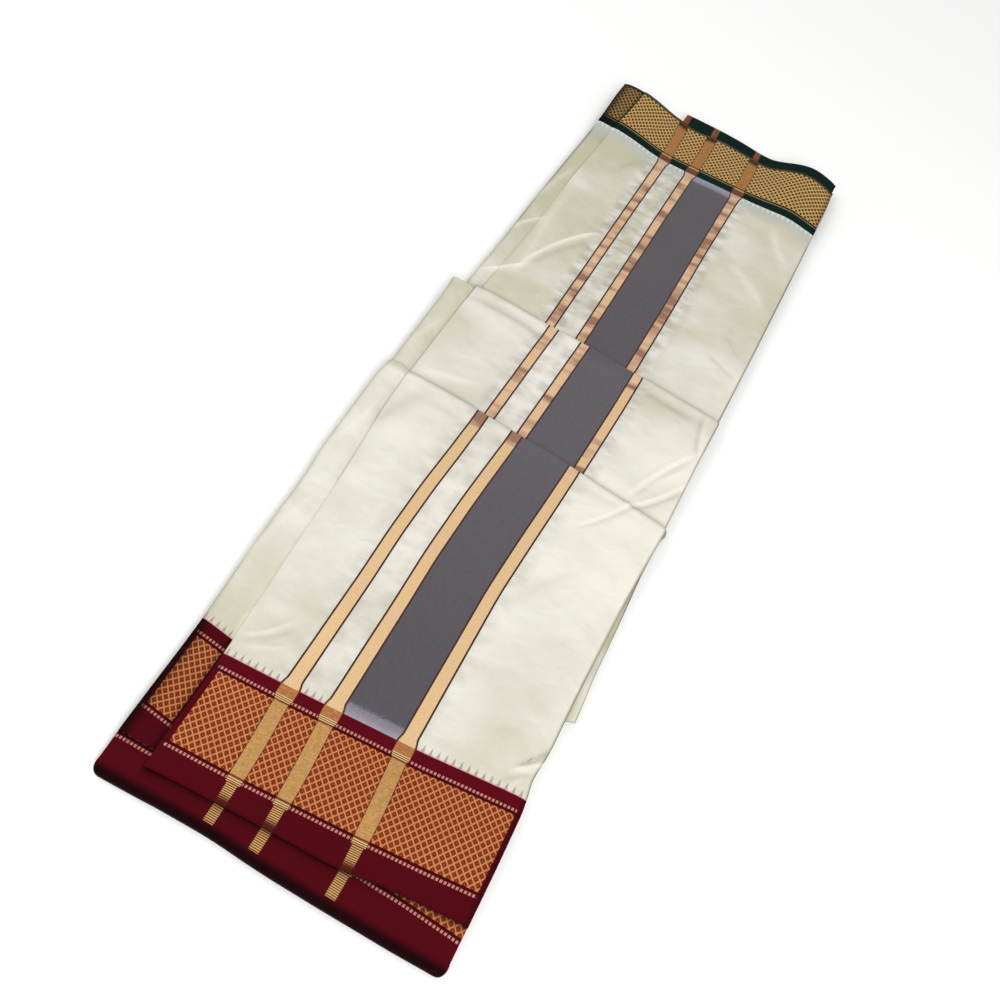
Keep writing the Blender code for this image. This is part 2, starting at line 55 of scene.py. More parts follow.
# Places of the bundle's folds (along, across). The left one steps in where the second tuck ends.
LEFT_BEFORE_STEP = (
    (0, -127.3), (100, -129.3), (150, -132.3), (200, -134.6), (250, -135.6), (280, -138.8),
    (350, -140.3), (372, -141.2), (395, -138.8), (490, -139.3), (514, -141.0),
)
LEFT_AFTER_STEP = (
    (516, -128.9), (600, -127.3), (692, -126.6), (812, -124.0), (847, -124.7), (880, -123.9),
)
RIGHT_FOLD = (
    (0, 128.1), (60, 127.4), (90, 126.2), (108, 125.7), (119, 124.0), (130, 122.9), (146, 124.7),
    (186, 124.2), (240, 125.0), (300, 126.4), (350, 127.4), (374, 128.8), (392, 127.8), (460, 127.4),
    (498, 129.4), (520, 127.8), (650, 129.0), (847, 128.8), (880, 127.0),
)
# Place of the flap's free end (along, across), with the sideways steps at its tucks smoothed out.
FREE_END = (
    (15, -99.5), (60, -100.5), (108, -101.5), (200, -107.3), (250, -109.7), (300, -114.0), (345, -117.8),
    (388, -119.3), (465, -119.0), (505, -117.7), (518, -114.0), (600, -109.9), (700, -109.4), (797, -106.0),
    (840, -101.6), (878, -100.0),
)
# Height of the cloth's face if the tucks' steps were filled in (along, height).
CROWN = (
    (0, 9.2), (6, 10.2), (20, 10.6), (110, 11.0), (200, 11.6), (300, 12.6), (388, 14.0),
    (460, 15.8), (514, 17.0), (560, 16.7), (700, 16.6), (800, 16.8), (888, 16.8),
)
PUFFS = ((-106.0, 52.0, 7.5), (96.0, 44.0, 7.5))  # the green end's puffed corners: across, reach, rise
LAYER = 1.3  # from one layer's face to the next one's
STEP = 2.8  # how far the face drops past each tuck
TUCK_DEPTH = 100.0


def reading(rows, place, blur=6.0):
    """Value of a table of (place, value) rows: straight lines between rows, averaged over a window."""
    places, values = np.transpose(rows)[:2]
    shifts = blur * np.linspace(-0.5, 0.5, 5)
    return sum(np.interp(place + shift, places, values) for shift in shifts) / len(shifts)


def ease(value, start, end):
    """0 before start and 1 after end, as 3t^2 - 2t^3 of the share t of the way between."""
    share = np.clip((value - start) / (end - start), 0.0, 1.0)
    return share * share * (3.0 - 2.0 * share)


def cross_line(along, slope, bow):
    """A line across the bundle: along + slope times across + bow times (across / 100) squared."""
    return lambda across: along + slope * across + bow * (across / 100.0) ** 2


def wave_line(*rows):
    """A line across the bundle through (across, along) rows, its corners rounded."""
    return lambda across: reading(rows, across, 16.0)


MAROON_LINE = cross_line(109.6, 0.064, 1.3)
CREST_1 = cross_line(387.0, -0.080, -2.4)
CREST_2 = cross_line(511.3, -0.055, -1.5)
GREEN_LINE = wave_line(
    (-128, 810.5), (-100, 807.0), (-74, 803.5), (-49, 798.6), (0, 797.0), (50, 799.0), (100, 801.0),
    (127, 795.5),
)
FAR_EDGE = wave_line(
    (-125, 882.0), (-98, 880.0), (-73, 877.5), (-49, 872.5), (-34, 867.5), (0, 872.0), (50, 866.5),
    (75, 872.0), (95, 874.5), (127, 871.0),
)
UNDER_GREEN_EDGE = wave_line(
    (-50, 889.0), (-10, 889.0), (45, 883.0), (65, 885.0), (95, 889.2), (126, 887.5),
)

# Creases and soft folds: both ends (across, along), bow, half width, height (a trough is below 0) and
# how sharp the line is, from 0, a soft swell, to 1, a pressed line.
CREASES = (
    (-127, 541, -88, 579, -2.0, 2.2, 1.8, 0.8),
    (-100, 560, -44, 664, 10.0, 2.2, 2.4, 0.8),
    (-94, 560, -40, 654, 10.0, 3.6, -1.1, 0.3),
    (-128, 606, -104, 642, 3.0, 2.2, 1.2, 0.7),
    (90, 577, 125, 560, -1.0, 2.4, -0.9, 0.7),
    (97, 609, 117, 586, 1.0, 2.4, -0.8, 0.7),
    (57, 520, 56, 655, 1.0, 2.4, -0.6, 0.7),
    (91, 377, 127, 428, -3.0, 2.0, 1.6, 0.8),
    (95, 375, 129, 424, -3.0, 1.8, -1.5, 0.7),
    (87, 388, 121, 460, 2.0, 2.2, 1.4, 0.7),
    (91, 386, 124, 456, 2.0, 2.2, -1.2, 0.5),
    (96, 402, 123, 440, 1.0, 2.0, 1.0, 0.7),
    (64, 338, 95, 384, -2.0, 1.8, 0.8, 0.8),
    (67, 336, 98, 382, -2.0, 1.6, -1.1, 0.8),
    (113, 503, 124, 455, -2.0, 2.2, -1.5, 0.8),
    (117, 503, 127, 456, -2.0, 2.0, 0.9, 0.7),
    (-118, 502, -30, 499, 2.0, 4.6, -1.6, 0.2),
    (-30, 500, 60, 498, 0.0, 4.6, -0.9, 0.1),
    (40, 500, 118, 493, -2.0, 4.6, -1.6, 0.2),
    (-118, 377, 118, 370, 0.0, 6.0, -0.7, 0.2),
    (-118, 404, -60, 420, -2.0, 5.0, 0.9, 0.4),
    (-76, 446, -40, 440, 2.0, 4.0, -0.8, 0.4),
    (-103, 117, -104, 148, 1.0, 1.8, 0.8, 0.7),
    (-102, 122, -74, 152, -3.0, 1.6, 0.9, 0.8),
    (-99, 120, -70, 149, -3.0, 1.8, -0.7, 0.6),
    (-94, 118, -66, 133, -2.0, 1.8, 0.7, 0.7),
    (108, 138, 127, 164, -1.0, 2.2, -2.0, 0.7),
    (106, 132, 126, 150, 0.0, 2.4, 1.4, 0.6),
    (104, 112, 116, 134, -1.0, 2.2, 0.7, 0.6),
    (102, 122, 122, 138, 1.0, 2.0, -0.8, 0.6),
    (-118, 330, -96, 384, 2.0, 7.0, -0.9, 0.0),
    (50, 246, 84, 300, 4.0, 6.0, -0.5, 0.2),
    (-96, 560, -104, 700, 2.0, 5.0, 0.6, 0.4),
    (70, 700, 118, 660, 3.0, 6.0, 0.9, 0.3),
    (-80, 740, -56, 790, 3.0, 5.0, -0.9, 0.4),
    (90, 780, 118, 730, -3.0, 6.0, 1.0, 0.2),
    (-137, 150, -118, 260, 2.0, 3.0, 0.6, 0.5),
    (-136, 300, -124, 360, -2.0, 3.0, 0.7, 0.5),
    (-136, 420, -122, 470, 2.0, 3.0, 0.7, 0.6),
    (-126, 660, -112, 730, 2.0, 3.0, 0.7, 0.5),
)
# Broad unevenness of the pressed cloth: cycles per metre across and along, phase, height.
SWELLS = (
    (9.0, 2.5, 0.4, 0.30), (-5.0, 6.5, 1.9, 0.28), (14.0, -4.0, 3.1, 0.16), (3.0, 13.0, 0.7, 0.20),
    (-11.0, -10.0, 2.3, 0.12), (21.0, 8.0, 5.0, 0.07), (-17.0, 19.0, 4.1, 0.06),
)


def creasing(across, along):
    """Rise of the creases: each is its height times exp(-distance), faded to nothing at its ends."""
    rise = 0.0
    for start_x, start_y, end_x, end_y, bow, half_width, height, sharpness in CREASES:
        length = np.hypot(end_x - start_x, end_y - start_y)
        unit_x, unit_y = (end_x - start_x) / length, (end_y - start_y) / length
        share = ((across - start_x) * unit_x + (along - start_y) * unit_y) / length
        off = (along - start_y) * unit_x - (across - start_x) * unit_y
        off = (off - bow * 4.0 * share * (1.0 - share)) / half_width
        soft = 0.05 + (1.0 - sharpness)
        fade = ease(share, -0.12, 0.3) * (1.0 - ease(share, 0.7, 1.12))
        rise = rise + height * fade * np.exp(soft - np.sqrt(soft ** 2 + 2.0 * off ** 2 * (0.5 + soft)))
    return rise


def relief(across, along):
    """Creases and swells, each swell a sine."""
    rise = creasing(across, along)
    for per_x, per_y, phase, height in SWELLS:
        rise = rise + height * np.sin(2.0 * np.pi * MM * (per_x * across + per_y * along) + phase)
    return rise


def puffing(across, along):
    """Rise of the green end near its folds: (1 - (distance / reach)^2)^2 of the puff's rise."""
    rise = 0.0
    for centre, reach, height in PUFFS:
        bump = np.clip(1.0 - ((across - centre) / reach) ** 2, 0.0, 1.0) ** 2
        rise = rise + height * bump * ease(along, 770.0, 885.0)
    return rise


def pressing(across, along):
    """Painted light of the creases: highlight above 0 on their crowns and on crests, shade below 0 in hollows
    and past crests.
    """
    pressed = 0.55 * creasing(across, along)
    for crest in (CREST_1, CREST_2):
        beyond = along - crest(across)
        pressed = pressed + 0.2 * np.exp(-((beyond + 3.4) / 2.2) ** 2)
        pressed = pressed - 0.8 * np.exp(-((beyond - 2.2) / 4.0) ** 2)
    return np.clip(pressed, -1.0, 1.0)


def left_fold(across, along):
    """Place of the bundle's left fold, level with each point."""
    stepped_in = along > CREST_2(across)
    return np.where(stepped_in, reading(LEFT_AFTER_STEP, along), reading(LEFT_BEFORE_STEP, along))


def crown(across, along):
    """Height of the face with no steps: the table, the relief and the puffs, less a droop at the folds."""
    inside = np.minimum(across - left_fold(across, along), reading(RIGHT_FOLD, along) - across)
    droop = 1.2 * np.clip(1.0 - inside / 7.0, 0.0, 1.3) ** 2
    return reading(CROWN, along, 24.0) + puffing(across, along) + relief(across, along) - droop


def past(line, across, along, start, end):
    """0 before a line across the bundle and 1 after it, easing between two shifts from it."""
    place = line(across)
    return ease(along, place + start, place + end)


def over_tucks(across, along):
    """1 where the flap's hidden tucks lie between it and the second layer, easing to 0 beyond them."""
    return past(CREST_1, across, along, -135.0, -104.0) - past(CREST_2, across, along, 4.0, 40.0)


def second_face(across, along):
    """Height of the second layer's face before its own steps: it sinks where the flap's tucks lie on it."""
    under_flap = ease(across - reading(FREE_END, along, 20.0), -9.0, -1.0)
    return crown(across, along) - LAYER - STEP * over_tucks(across, along) * under_flap


def third_face(across, along):
    """Height of the next layer's face: under the second layer and its tucks, or under the flap and its."""
    tucks = past(CREST_1, across, along, -128.0, -102.0) + past(CREST_2, across, along, -128.0, -102.0)
    under_flap = crown(across, along) - LAYER - STEP * tucks
    under_second = second_face(across, along) - LAYER - STEP * tucks
    beside = ease(across, -95.0, -78.0)
    return under_flap * beside + under_second * (1.0 - beside)


def stack_top(across, along):
    """Height of the hidden stack: one layer lower under the strips of the third layer."""
    under_strips = np.maximum(1.0 - ease(along, 40.0, 50.0), past(GREEN_LINE, across, along, 34.0, 44.0))
    return third_face(across, along) - 0.3 - LAYER * under_strips


def linear(code):
    """Turn an sRGB hex colour into linear light."""
    parts = np.array([int(code[place:place + 2], 16) / 255.0 for place in (1, 3, 5)])
    light = np.where(parts <= 0.04045, parts / 12.92, ((parts + 0.055) / 1.055) ** 2.4)
    return (*light.tolist(), 1.0)


def add_node(tree, kind, inputs, output=0, stops=(), **settings):
    """Add a node with its settings, its inputs' values or links and a ramp's stops; return an output.

    A colour is an sRGB hex code.
    """
    node = tree.nodes.new("ShaderNode" + kind)
    for name, value in settings.items():
        setattr(node, name, value)
    for name, value in inputs.items():
        named = [socket for socket in node.inputs if socket.enabled and socket.name == name]
        socket = named[0] if named else node.inputs[name]
        if isinstance(value, bpy.types.NodeSocket):
            tree.links.new(value, socket)
        else:
            socket.default_value = linear(value) if isinstance(value, str) else value
    for number, (place, code) in enumerate(stops):
        elements = node.color_ramp.elements
        element = elements[number] if number < 2 else elements.new(place)
        element.position = place
        element.color = linear(code)
    return ([socket for socket in node.outputs if socket.enabled] or [node])[output]


def new_material(name):
    """An empty node material of this name, and the function that adds a node to it."""
    material = bpy.data.materials.new(name)
    material.use_nodes = True
    material.node_tree.nodes.clear()
    return material, partial(add_node, material.node_tree)


def add_piece(name, points, faces, facts, material, thickness=0.0):
    """Make a mesh from points in millimetres, with facts on each point; thickness makes a sheet a wall."""
    mesh = bpy.data.meshes.new(name)
    mesh.from_pydata(((points - BUNDLE_MIDDLE) * MM).tolist(), [], [list(face) for face in faces])
    for fact, values in facts.items():
        kind, slot = ("FLOAT_VECTOR", "vector") if values.ndim == 2 else ("FLOAT", "value")
        layer = mesh.attributes.new(fact, kind, "POINT")
        layer.data.foreach_set(slot, values.astype(np.float32).ravel())
    mesh.shade_smooth()
    mesh.materials.append(material)
    piece = bpy.data.objects.new(name, mesh)
    bpy.context.scene.collection.objects.link(piece)
    if thickness:
        edge_of_loop = np.empty(len(mesh.loops), dtype=np.int32)
        mesh.loops.foreach_get("edge_index", edge_of_loop)
        rim = np.bincount(edge_of_loop, minlength=len(mesh.edges)) == 1
        mesh.attributes.new("sharp_edge", "BOOLEAN", "EDGE").data.foreach_set("value", rim)
        wall = piece.modifiers.new("cloth_thickness", "SOLIDIFY")
        wall.thickness = thickness * MM
        wall.offset = -1.0
    return piece


# Cream cotton-silk, plain woven: a matt cloth with a soft lustre and a fine square weave. The border's
# colour runs into it as a row of stepped teeth, and fine feathers fringe the gold bands. Its attributes,
# in millimetres: "cloth" is across from the second gold band, then inwards from the maroon border and
# from the green one, "band" is outwards from the nearest gold band, and "inset" from the cloth's side.
# Two more have no unit: the tone, how pale the cloth is, with painted shade where it rolls under a fold
# or lies in shade, and the creasing: a painted highlight on ridges and crests, painted shade in troughs
# and just past each crest.
DARK_THREAD = "#38120a"
BAND_EDGE = "#c69a68"
TOOTH_PITCH = 5.5
TOOTH_HEIGHT = 5.8
TOOTH_FOOT = 1.3  # half a tooth's width where it stands on the border
TOOTH_STEP = 0.8
FEATHER_PITCH = 2.75
WEAVE_PITCH = 0.8  # drawn coarser than real, as threads 0.3 mm apart are too fine to show


def line_band(add, band, colour):
    """Draw a gold band's outline: dark thread from 0.9 mm outside it, and gold from 0.4 mm inside it."""
    line = add("Math", {0: band, 1: 0.9}, operation="LESS_THAN")
    colour = add("Mix", {"Factor": line, "A": colour, "B": DARK_THREAD}, data_type="RGBA")
    inside = add("Math", {0: band, 1: -0.4}, operation="LESS_THAN")
    return add("Mix", {"Factor": inside, "A": colour, "B": BAND_EDGE}, data_type="RGBA")


def plain_weave(add, place):
    """Height of a plain weave: the product of a sine across the cloth and a sine along it."""
    threads = add("VectorMath", {0: place, "Scale": 2.0 * np.pi / WEAVE_PITCH}, operation="SCALE")
    threads = add("VectorMath", {0: threads}, operation="SINE")
    threads = add("SeparateXYZ", {0: threads})
    return add("Math", {0: threads, 1: threads.node.outputs[1]}, operation="MULTIPLY")


cream_cloth, add = new_material("plain_woven_cotton_silk")
place = add("Attribute", {}, 1, attribute_name="cloth")
band = add("Attribute", {}, 2, attribute_name="band")
split = add("SeparateXYZ", {0: place})
across, from_maroon, from_green = split.node.outputs
from_border = add("Math", {0: from_maroon, 1: from_green}, operation="MINIMUM")
tone = add("Attribute", {}, 2, attribute_name="tone")
# The tone moves the ramp: up for paler cloth, down for painted shade.
patches = add("TexNoise", {"Vector": place, "Scale": 0.016, "Detail": 3.0, "Roughness": 0.55})
patches = add("Math", {0: tone, 1: 0.5, 2: patches}, operation="MULTIPLY_ADD")
colour = add("ValToRGB", {"Fac": patches}, stops=(
    (0.25, "#beba9f"), (0.42, "#c9c4ae"), (0.60, "#d2cebf"), (0.82, "#dddacf"), (1.0, "#e7e2d6"),
))
# Tones below -0.8 turn to a dark grey-green: painted shade where the cloth rolls under and deep in the stack.
rolled = add("MapRange", {"Value": tone, "From Min": -0.8, "From Max": -2.0})
# The creases' painted light: a painted highlight on ridges and crests, painted shade in troughs and past
# crests.
pressed = add("Attribute", {}, 2, attribute_name="pressed")
ridge = add("MapRange", {"Value": pressed, "To Max": 0.8})
trough = add("MapRange", {"Value": pressed, "From Max": -1.0, "To Max": 0.5})
smudge = add("Mapping", {"Vector": place, "Scale": (0.05, 0.09, 0.0)})
smudge = add("TexNoise", {"Vector": smudge, "Scale": 1.0, "Detail": 2.0, "Roughness": 0.5})
cool = add("ValToRGB", {"Fac": smudge}, stops=((0.38, "#aaa497"), (0.62, "#dcd9d3")))
beside_band = add("MapRange", {
    "Value": band, "From Min": 5.0, "From Max": 14.0, "To Min": 1.0, "To Max": 0.0})
smudged = add("MapRange", {
    "Value": from_maroon, "From Min": 150.0, "From Max": 850.0, "To Min": 0.3, "To Max": 0.75})
beside_band = add("Math", {0: beside_band, 1: smudged}, operation="MULTIPLY")
beside_green = add("MapRange", {
    "Value": from_green, "From Min": 8.0, "From Max": 23.0, "To Min": 0.85, "To Max": 0.0})
for share, over in (
    (rolled, "#6d6e66"), (ridge, "#eeeadd"), (trough, "#97957a"), (beside_band, cool),
    (beside_green, "#b5b9b3"),
):
    colour = add("Mix", {"Factor": share, "A": colour, "B": over}, data_type="RGBA")
slub = add("Mapping", {"Vector": place, "Scale": (0.05, 1.1, 0.0)})
slub = add("TexNoise", {"Vector": slub, "Scale": 1.0, "Detail": 2.0})
slub = add("MapRange", {"Value": slub, "From Min": 0.3, "From Max": 0.7, "To Min": 0.97, "To Max": 1.0})
colour = add("Mix", {"Factor": 1.0, "A": colour, "B": slub}, data_type="RGBA", blend_type="MULTIPLY")
tick = add("Math", {0: from_maroon, 1: 0.5 * FEATHER_PITCH}, operation="PINGPONG")
reach = add("Math", {0: tick, 1: 1.9, 2: 1.6}, operation="MULTIPLY_ADD")
feather = add("Math", {0: band, 1: reach}, operation="LESS_THAN")
feather = add("Math", {0: feather, 1: 0.1}, operation="MULTIPLY")
teeth = add("Math", {0: across, 1: 0.5 * TOOTH_PITCH}, operation="PINGPONG")
level = add("Math", {0: from_border, 1: TOOTH_STEP}, operation="SNAP")
half = add("Math", {0: level, 1: -TOOTH_FOOT / TOOTH_HEIGHT, 2: TOOTH_FOOT}, operation="MULTIPLY_ADD")
tooth = add("Math", {0: teeth, 1: half}, operation="LESS_THAN")
maroon_side = add("Math", {0: from_maroon, 1: from_green}, operation="LESS_THAN")
tooth = add("Math", {0: tooth, 1: 0.75}, operation="MULTIPLY")
tooth_ink = add("Mix", {"Factor": maroon_side, "A": "#d4dcd4", "B": "#857f78"}, data_type="RGBA")
foot = add("Math", {0: from_border, 1: 0.9}, operation="LESS_THAN")
foot = add("Math", {0: foot, 1: 0.7}, operation="MULTIPLY")
foot_ink = add("Mix", {"Factor": maroon_side, "A": "#cfd6cb", "B": "#c98a8a"}, data_type="RGBA")
for share, over in ((feather, "#a5a09a"), (tooth, tooth_ink), (foot, foot_ink)):
    colour = add("Mix", {"Factor": share, "A": colour, "B": over}, data_type="RGBA")
colour = line_band(add, band, colour)
weave = plain_weave(add, place)
crumple = add("TexNoise", {
    "Vector": place, "Scale": 0.04, "Detail": 2.0, "Roughness": 0.5, "Distortion": 0.8})
bump = add("Bump", {"Height": crumple, "Strength": 0.35, "Distance": 0.003})
bump = add("Bump", {"Height": weave, "Strength": 0.12, "Distance": 0.0001, "Normal": bump})
shader = add("BsdfPrincipled", {
    "Base Color": colour, "Roughness": 0.6, "Specular IOR Level": 0.3, "Sheen Weight": 0.15,
    "Sheen Roughness": 0.4, "Normal": bump,
})
add("OutputMaterial", {"Surface": shader})

# Woven borders: plain silk weave, a broad band of zari (silk wound with gilt foil) in a lattice of
# diamonds, each round a dark square with a bright eye, lines of beads, and gold bands across it all.
LATTICE = (5.5, 6.2)  # a diamond's width and height
RUNG_PITCH = 1.44
BORDER_THREAD_PITCH = 0.7  # drawn coarser than real, as threads 0.3 mm apart are too fine to show


def weave_border(
    add, depth_axis, edge_axis, lean, margins, selvedge, zari, lattice, ground, dark_line, bead, beads,
    over_plain, over_zari, rung, gap
):
    """A woven border's whole pattern, from the cloth's place in it.

    Depth is the distance from the cream and picks the zones: zari is the lattice's two depths, and
    beads are rows of (depth, height, pitch, share that is bead). Margins keep the lattice and the
    beads off the cloth's side, and selvedge keeps the lattice off its edge. A lattice cell's colour
    comes from the greater of the two distances from its middle, measured along its sides; a bead or
    a rung is a stretch of a repeating distance.
    """
    place = add("Attribute", {}, 1, attribute_name="cloth")
    band = add("Attribute", {}, 2, attribute_name="band")
    inset = add("Attribute", {}, 2, attribute_name="inset")
    tone = add("Attribute", {}, 2, attribute_name="tone")
    across = add("SeparateXYZ", {0: place})
    depth = add("Math", {0: across.node.outputs[depth_axis], 1: -1.0}, operation="MULTIPLY")
    edge = across.node.outputs[edge_axis]

    grain = add("Mapping", {"Vector": place, "Scale": (0.35, 1.6, 1.6)})
    grain = add("TexNoise", {"Vector": grain, "Scale": 1.0, "Detail": 3.0, "Roughness": 0.7})
    wide = add("Math", {0: depth, 1: lean, 2: across}, operation="MULTIPLY_ADD")
    wide = add("Math", {0: wide, 1: LATTICE[0]}, operation="DIVIDE")
    high = add("Math", {0: depth, 1: LATTICE[1]}, operation="DIVIDE")
    wobble = add("Math", {0: grain, 1: 0.16, 2: -0.08}, operation="MULTIPLY_ADD")
    high = add("Math", {0: high, 1: wobble}, operation="ADD")
    first = add("Math", {0: wide, 1: high}, operation="ADD")
    second = add("Math", {0: wide, 1: high}, operation="SUBTRACT")
    first = add("Math", {0: first, 1: 0.5}, operation="PINGPONG")
    second = add("Math", {0: second, 1: 0.5}, operation="PINGPONG")
    cell = add("Math", {0: first, 1: second}, operation="MAXIMUM")
    cell_colour = add("ValToRGB", {"Fac": cell}, stops=lattice)
    middle, half = 0.5 * (zari[0] + zari[1]), 0.5 * (zari[1] - zari[0])
    in_zari = add("Math", {0: depth, 1: middle, 2: half}, operation="COMPARE")
    off_edge = add("Math", {0: inset, 1: margins[0]}, operation="GREATER_THAN")
    off_selvedge = add("Math", {0: edge, 1: selvedge}, operation="GREATER_THAN")
    zone = add("Math", {0: off_edge, 1: off_selvedge}, operation="MULTIPLY")
    off_edge = add("Math", {0: inset, 1: margins[1]}, operation="GREATER_THAN")
    zari_zone = add("Math", {0: in_zari, 1: zone}, operation="MULTIPLY")
    colour = add("Mix", {"Factor": zari_zone, "A": ground, "B": cell_colour}, data_type="RGBA")
    metal = add("Math", {0: cell, 1: 0.3}, operation="GREATER_THAN")
    metal = add("Math", {0: metal, 1: zari_zone}, operation="MULTIPLY")
    for line in (zari[0] - 0.7, zari[1] + 0.7):
        row = add("Math", {0: depth, 1: line, 2: 0.45}, operation="COMPARE")
        colour = add("Mix", {"Factor": row, "A": colour, "B": dark_line}, data_type="RGBA")
    for line, tall, pitch, share in beads:
        row = add("Math", {0: depth, 1: line, 2: 0.5 * tall}, operation="COMPARE")
        slant = add("Math", {0: depth, 1: 0.12, 2: across}, operation="MULTIPLY_ADD")
        beading = add("Math", {0: slant, 1: 0.5 * pitch}, operation="PINGPONG")
        beading = add("Math", {0: beading, 1: 0.5 * pitch * share}, operation="LESS_THAN")
        row = add("Math", {0: row, 1: beading}, operation="MULTIPLY")
        row = add("Math", {0: row, 1: off_edge}, operation="MULTIPLY")
        colour = add("Mix", {"Factor": row, "A": colour, "B": bead}, data_type="RGBA")
        metal = add("Math", {0: metal, 1: row}, operation="MAXIMUM")

    gold = add("Mix", {"Factor": in_zari, "A": over_plain, "B": over_zari}, data_type="RGBA")
    speckle = add("MapRange", {
        "Value": grain, "From Min": 0.36, "From Max": 0.64, "To Min": 0.72, "To Max": 1.32})
    gold = add("Mix", {"Factor": 1.0, "A": gold, "B": speckle}, data_type="RGBA", blend_type="MULTIPLY")
    rungs = add("Math", {0: depth, 1: 0.5 * RUNG_PITCH}, operation="PINGPONG")
    rungs = add("Math", {0: rungs, 1: 0.3}, operation="LESS_THAN")
    past_zari = add("Math", {0: depth, 1: zari[1] + 5.5}, operation="GREATER_THAN")
    dashes = add("Math", {0: depth, 1: middle}, operation="SUBTRACT")
    dashes = add("Math", {0: dashes}, operation="ABSOLUTE")
    dashes = add("Math", {0: dashes, 1: half + 3.4, 2: 1.7}, operation="COMPARE")
    rungs_here = add("Math", {0: past_zari, 1: dashes}, operation="MAXIMUM")
    rungs = add("Math", {0: rungs, 1: rungs_here}, operation="MULTIPLY")
    narrow = add("Math", {0: past_zari, 1: 1.3, 2: band}, operation="MULTIPLY_ADD")
    layers = [(dashes, "#e3bd84"), (past_zari, rung), (rungs, gap)]
    for line in (zari[0] - 1.2, zari[1] + 0.9):
        row = add("Math", {0: depth, 1: line, 2: 0.4}, operation="COMPARE")
        row = add("Math", {0: row, 1: 0.8}, operation="MULTIPLY")
        layers.append((row, gap))
    by_selvedge = add("MapRange", {
        "Value": edge, "From Min": selvedge + 3.5, "From Max": selvedge + 8.5, "To Min": 0.95, "To Max": 0.0})
    for share, over in (*layers, (by_selvedge, gap)):
        gold = add("Mix", {"Factor": share, "A": gold, "B": over}, data_type="RGBA")
    on_band = add("Math", {0: narrow, 1: 0.0}, operation="LESS_THAN")
    metal = add("Math", {0: metal, 1: on_band}, operation="MAXIMUM")
    piping = add("Math", {0: edge, 1: 2.1, 2: 0.5}, operation="COMPARE")
    piping = add("Math", {0: piping, 1: 0.5}, operation="MULTIPLY")
    outline = add("Math", {0: narrow, 1: 0.25, 2: 0.4}, operation="COMPARE")
    outline = add("Math", {0: outline, 1: 0.65}, operation="MULTIPLY")
    for share, over in ((on_band, gold), (piping, bead), (outline, gap)):
        colour = add("Mix", {"Factor": share, "A": colour, "B": over}, data_type="RGBA")
    # The tone darkens the border as painted shade: at the folds, under the layers above and round the near
    # end.
    colour = add("Mix", {"Factor": 1.0, "A": colour, "B": tone}, data_type="RGBA", blend_type="MULTIPLY")

    threads = add("VectorMath", {0: place, "Scale": 2.0 * np.pi / BORDER_THREAD_PITCH}, operation="SCALE")
    threads = add("VectorMath", {0: threads}, operation="SINE")
    threads = add("SeparateXYZ", {0: threads})
    raised = add("Math", {0: threads.node.outputs[depth_axis], 1: 0.35, 2: metal}, operation="MULTIPLY_ADD")
    bump = add("Bump", {"Height": raised, "Strength": 0.5, "Distance": 0.00015})
    rough = add("MapRange", {"Value": metal, "To Min": 0.6, "To Max": 0.45})
    metallic = add("Math", {0: metal, 1: 0.5}, operation="MULTIPLY")
    shader = add("BsdfPrincipled", {
        "Base Color": colour, "Roughness": rough, "Metallic": metallic, "Specular IOR Level": 0.04,
        "Normal": bump,
    })
    add("OutputMaterial", {"Surface": shader})


# The maroon border: deep red silk and copper zari. The silk is matt, the zari has a metal's glint.
maroon_cloth, add = new_material("maroon_silk_with_woven_copper_zari")
weave_border(
    add, depth_axis=1, edge_axis=2, lean=-0.075, margins=(4.4, 2.6), selvedge=9.9, zari=(12.8, 69.0),
    lattice=(
        (0.04, "#bc6d36"), (0.10, "#581606"), (0.20, "#601c08"),
        (0.27, "#8a421b"), (0.385, "#924821"), (0.45, "#d78f63"),
    ),
    ground="#4b0410", dark_line="#38030a", bead="#c58473",
    beads=((9.7, 2.0, 2.8, 0.6), (72.2, 2.0, 2.8, 0.6)), over_plain="#9c6840",
    over_zari="#bd9058", rung="#d2a468", gap="#4a0f10",
)

# The green border: bottle-green silk and yellow zari, matt and glinting as in the maroon one. A plain
# green line comes first, then the same lattice, out to a green selvedge.
green_cloth, add = new_material("bottle_green_silk_with_woven_gold_zari")
weave_border(
    add, depth_axis=2, edge_axis=1, lean=0.0, margins=(1.0, 1.0), selvedge=4.0, zari=(13.4, 90.0),
    lattice=(
        (0.04, "#54401c"), (0.08, "#2e210b"), (0.2, "#36260f"),
        (0.27, "#7a572c"), (0.36, "#a57e48"), (0.44, "#dcb676"),
    ),
    ground="#08201c", dark_line="#10170c", bead="#8f7653",
    beads=((10.6, 1.5, 40.0, 1.0),), over_plain="#754733", over_zari="#ab7a46",
    rung="#a87648", gap="#3c2412",
)

LEAVES = 7
# How far each leaf lies inside the outline, lowest first: millimetres, and the phases of two ripples.
LEAF_LEAN = (
    (0.6, 0.9, 0.2), (1.3, 2.1, 1.1), (0.2, 3.7, 2.9), (1.6, 5.2, 0.4), (0.7, 1.7, 4.2), (1.1, 4.4, 3.3),
    (0.3, 2.9, 5.5),
)
NEAR_CORNER = 5.0  # radius of the bundle's two near corners
# The near end isn't quite straight. It stands out by this wave, and the cloth follows over NEAR_PULL.
NEAR_END = wave_line(
    (-125, -3.2), (-98, -2.7), (-67, -2.0), (-47, -1.6), (-28, -2.4), (-15, -3.5), (8, -4.5), (36, -4.9),
    (65, -4.9), (93, -5.0), (125, -4.6),
)
NEAR_PULL = 16.0
# How far the two top leaves stand out past the others on the right, short of the first tuck (along, reach).
PROUD = (
    (186, 0.0), (188, 8.8), (202, 8.4), (228, 6.8), (252, 5.8), (300, 3.4), (350, 1.6), (365, 1.9),
    (370, 3.8), (375, 3.8), (379, 0.0),
)


def to_near_end(across, along):
    """Draw the last of the cloth out to the uneven near end, easing to nothing over its last stretch."""
    return along + NEAR_END(across) * (1.0 - ease(along, 0.0, NEAR_PULL))


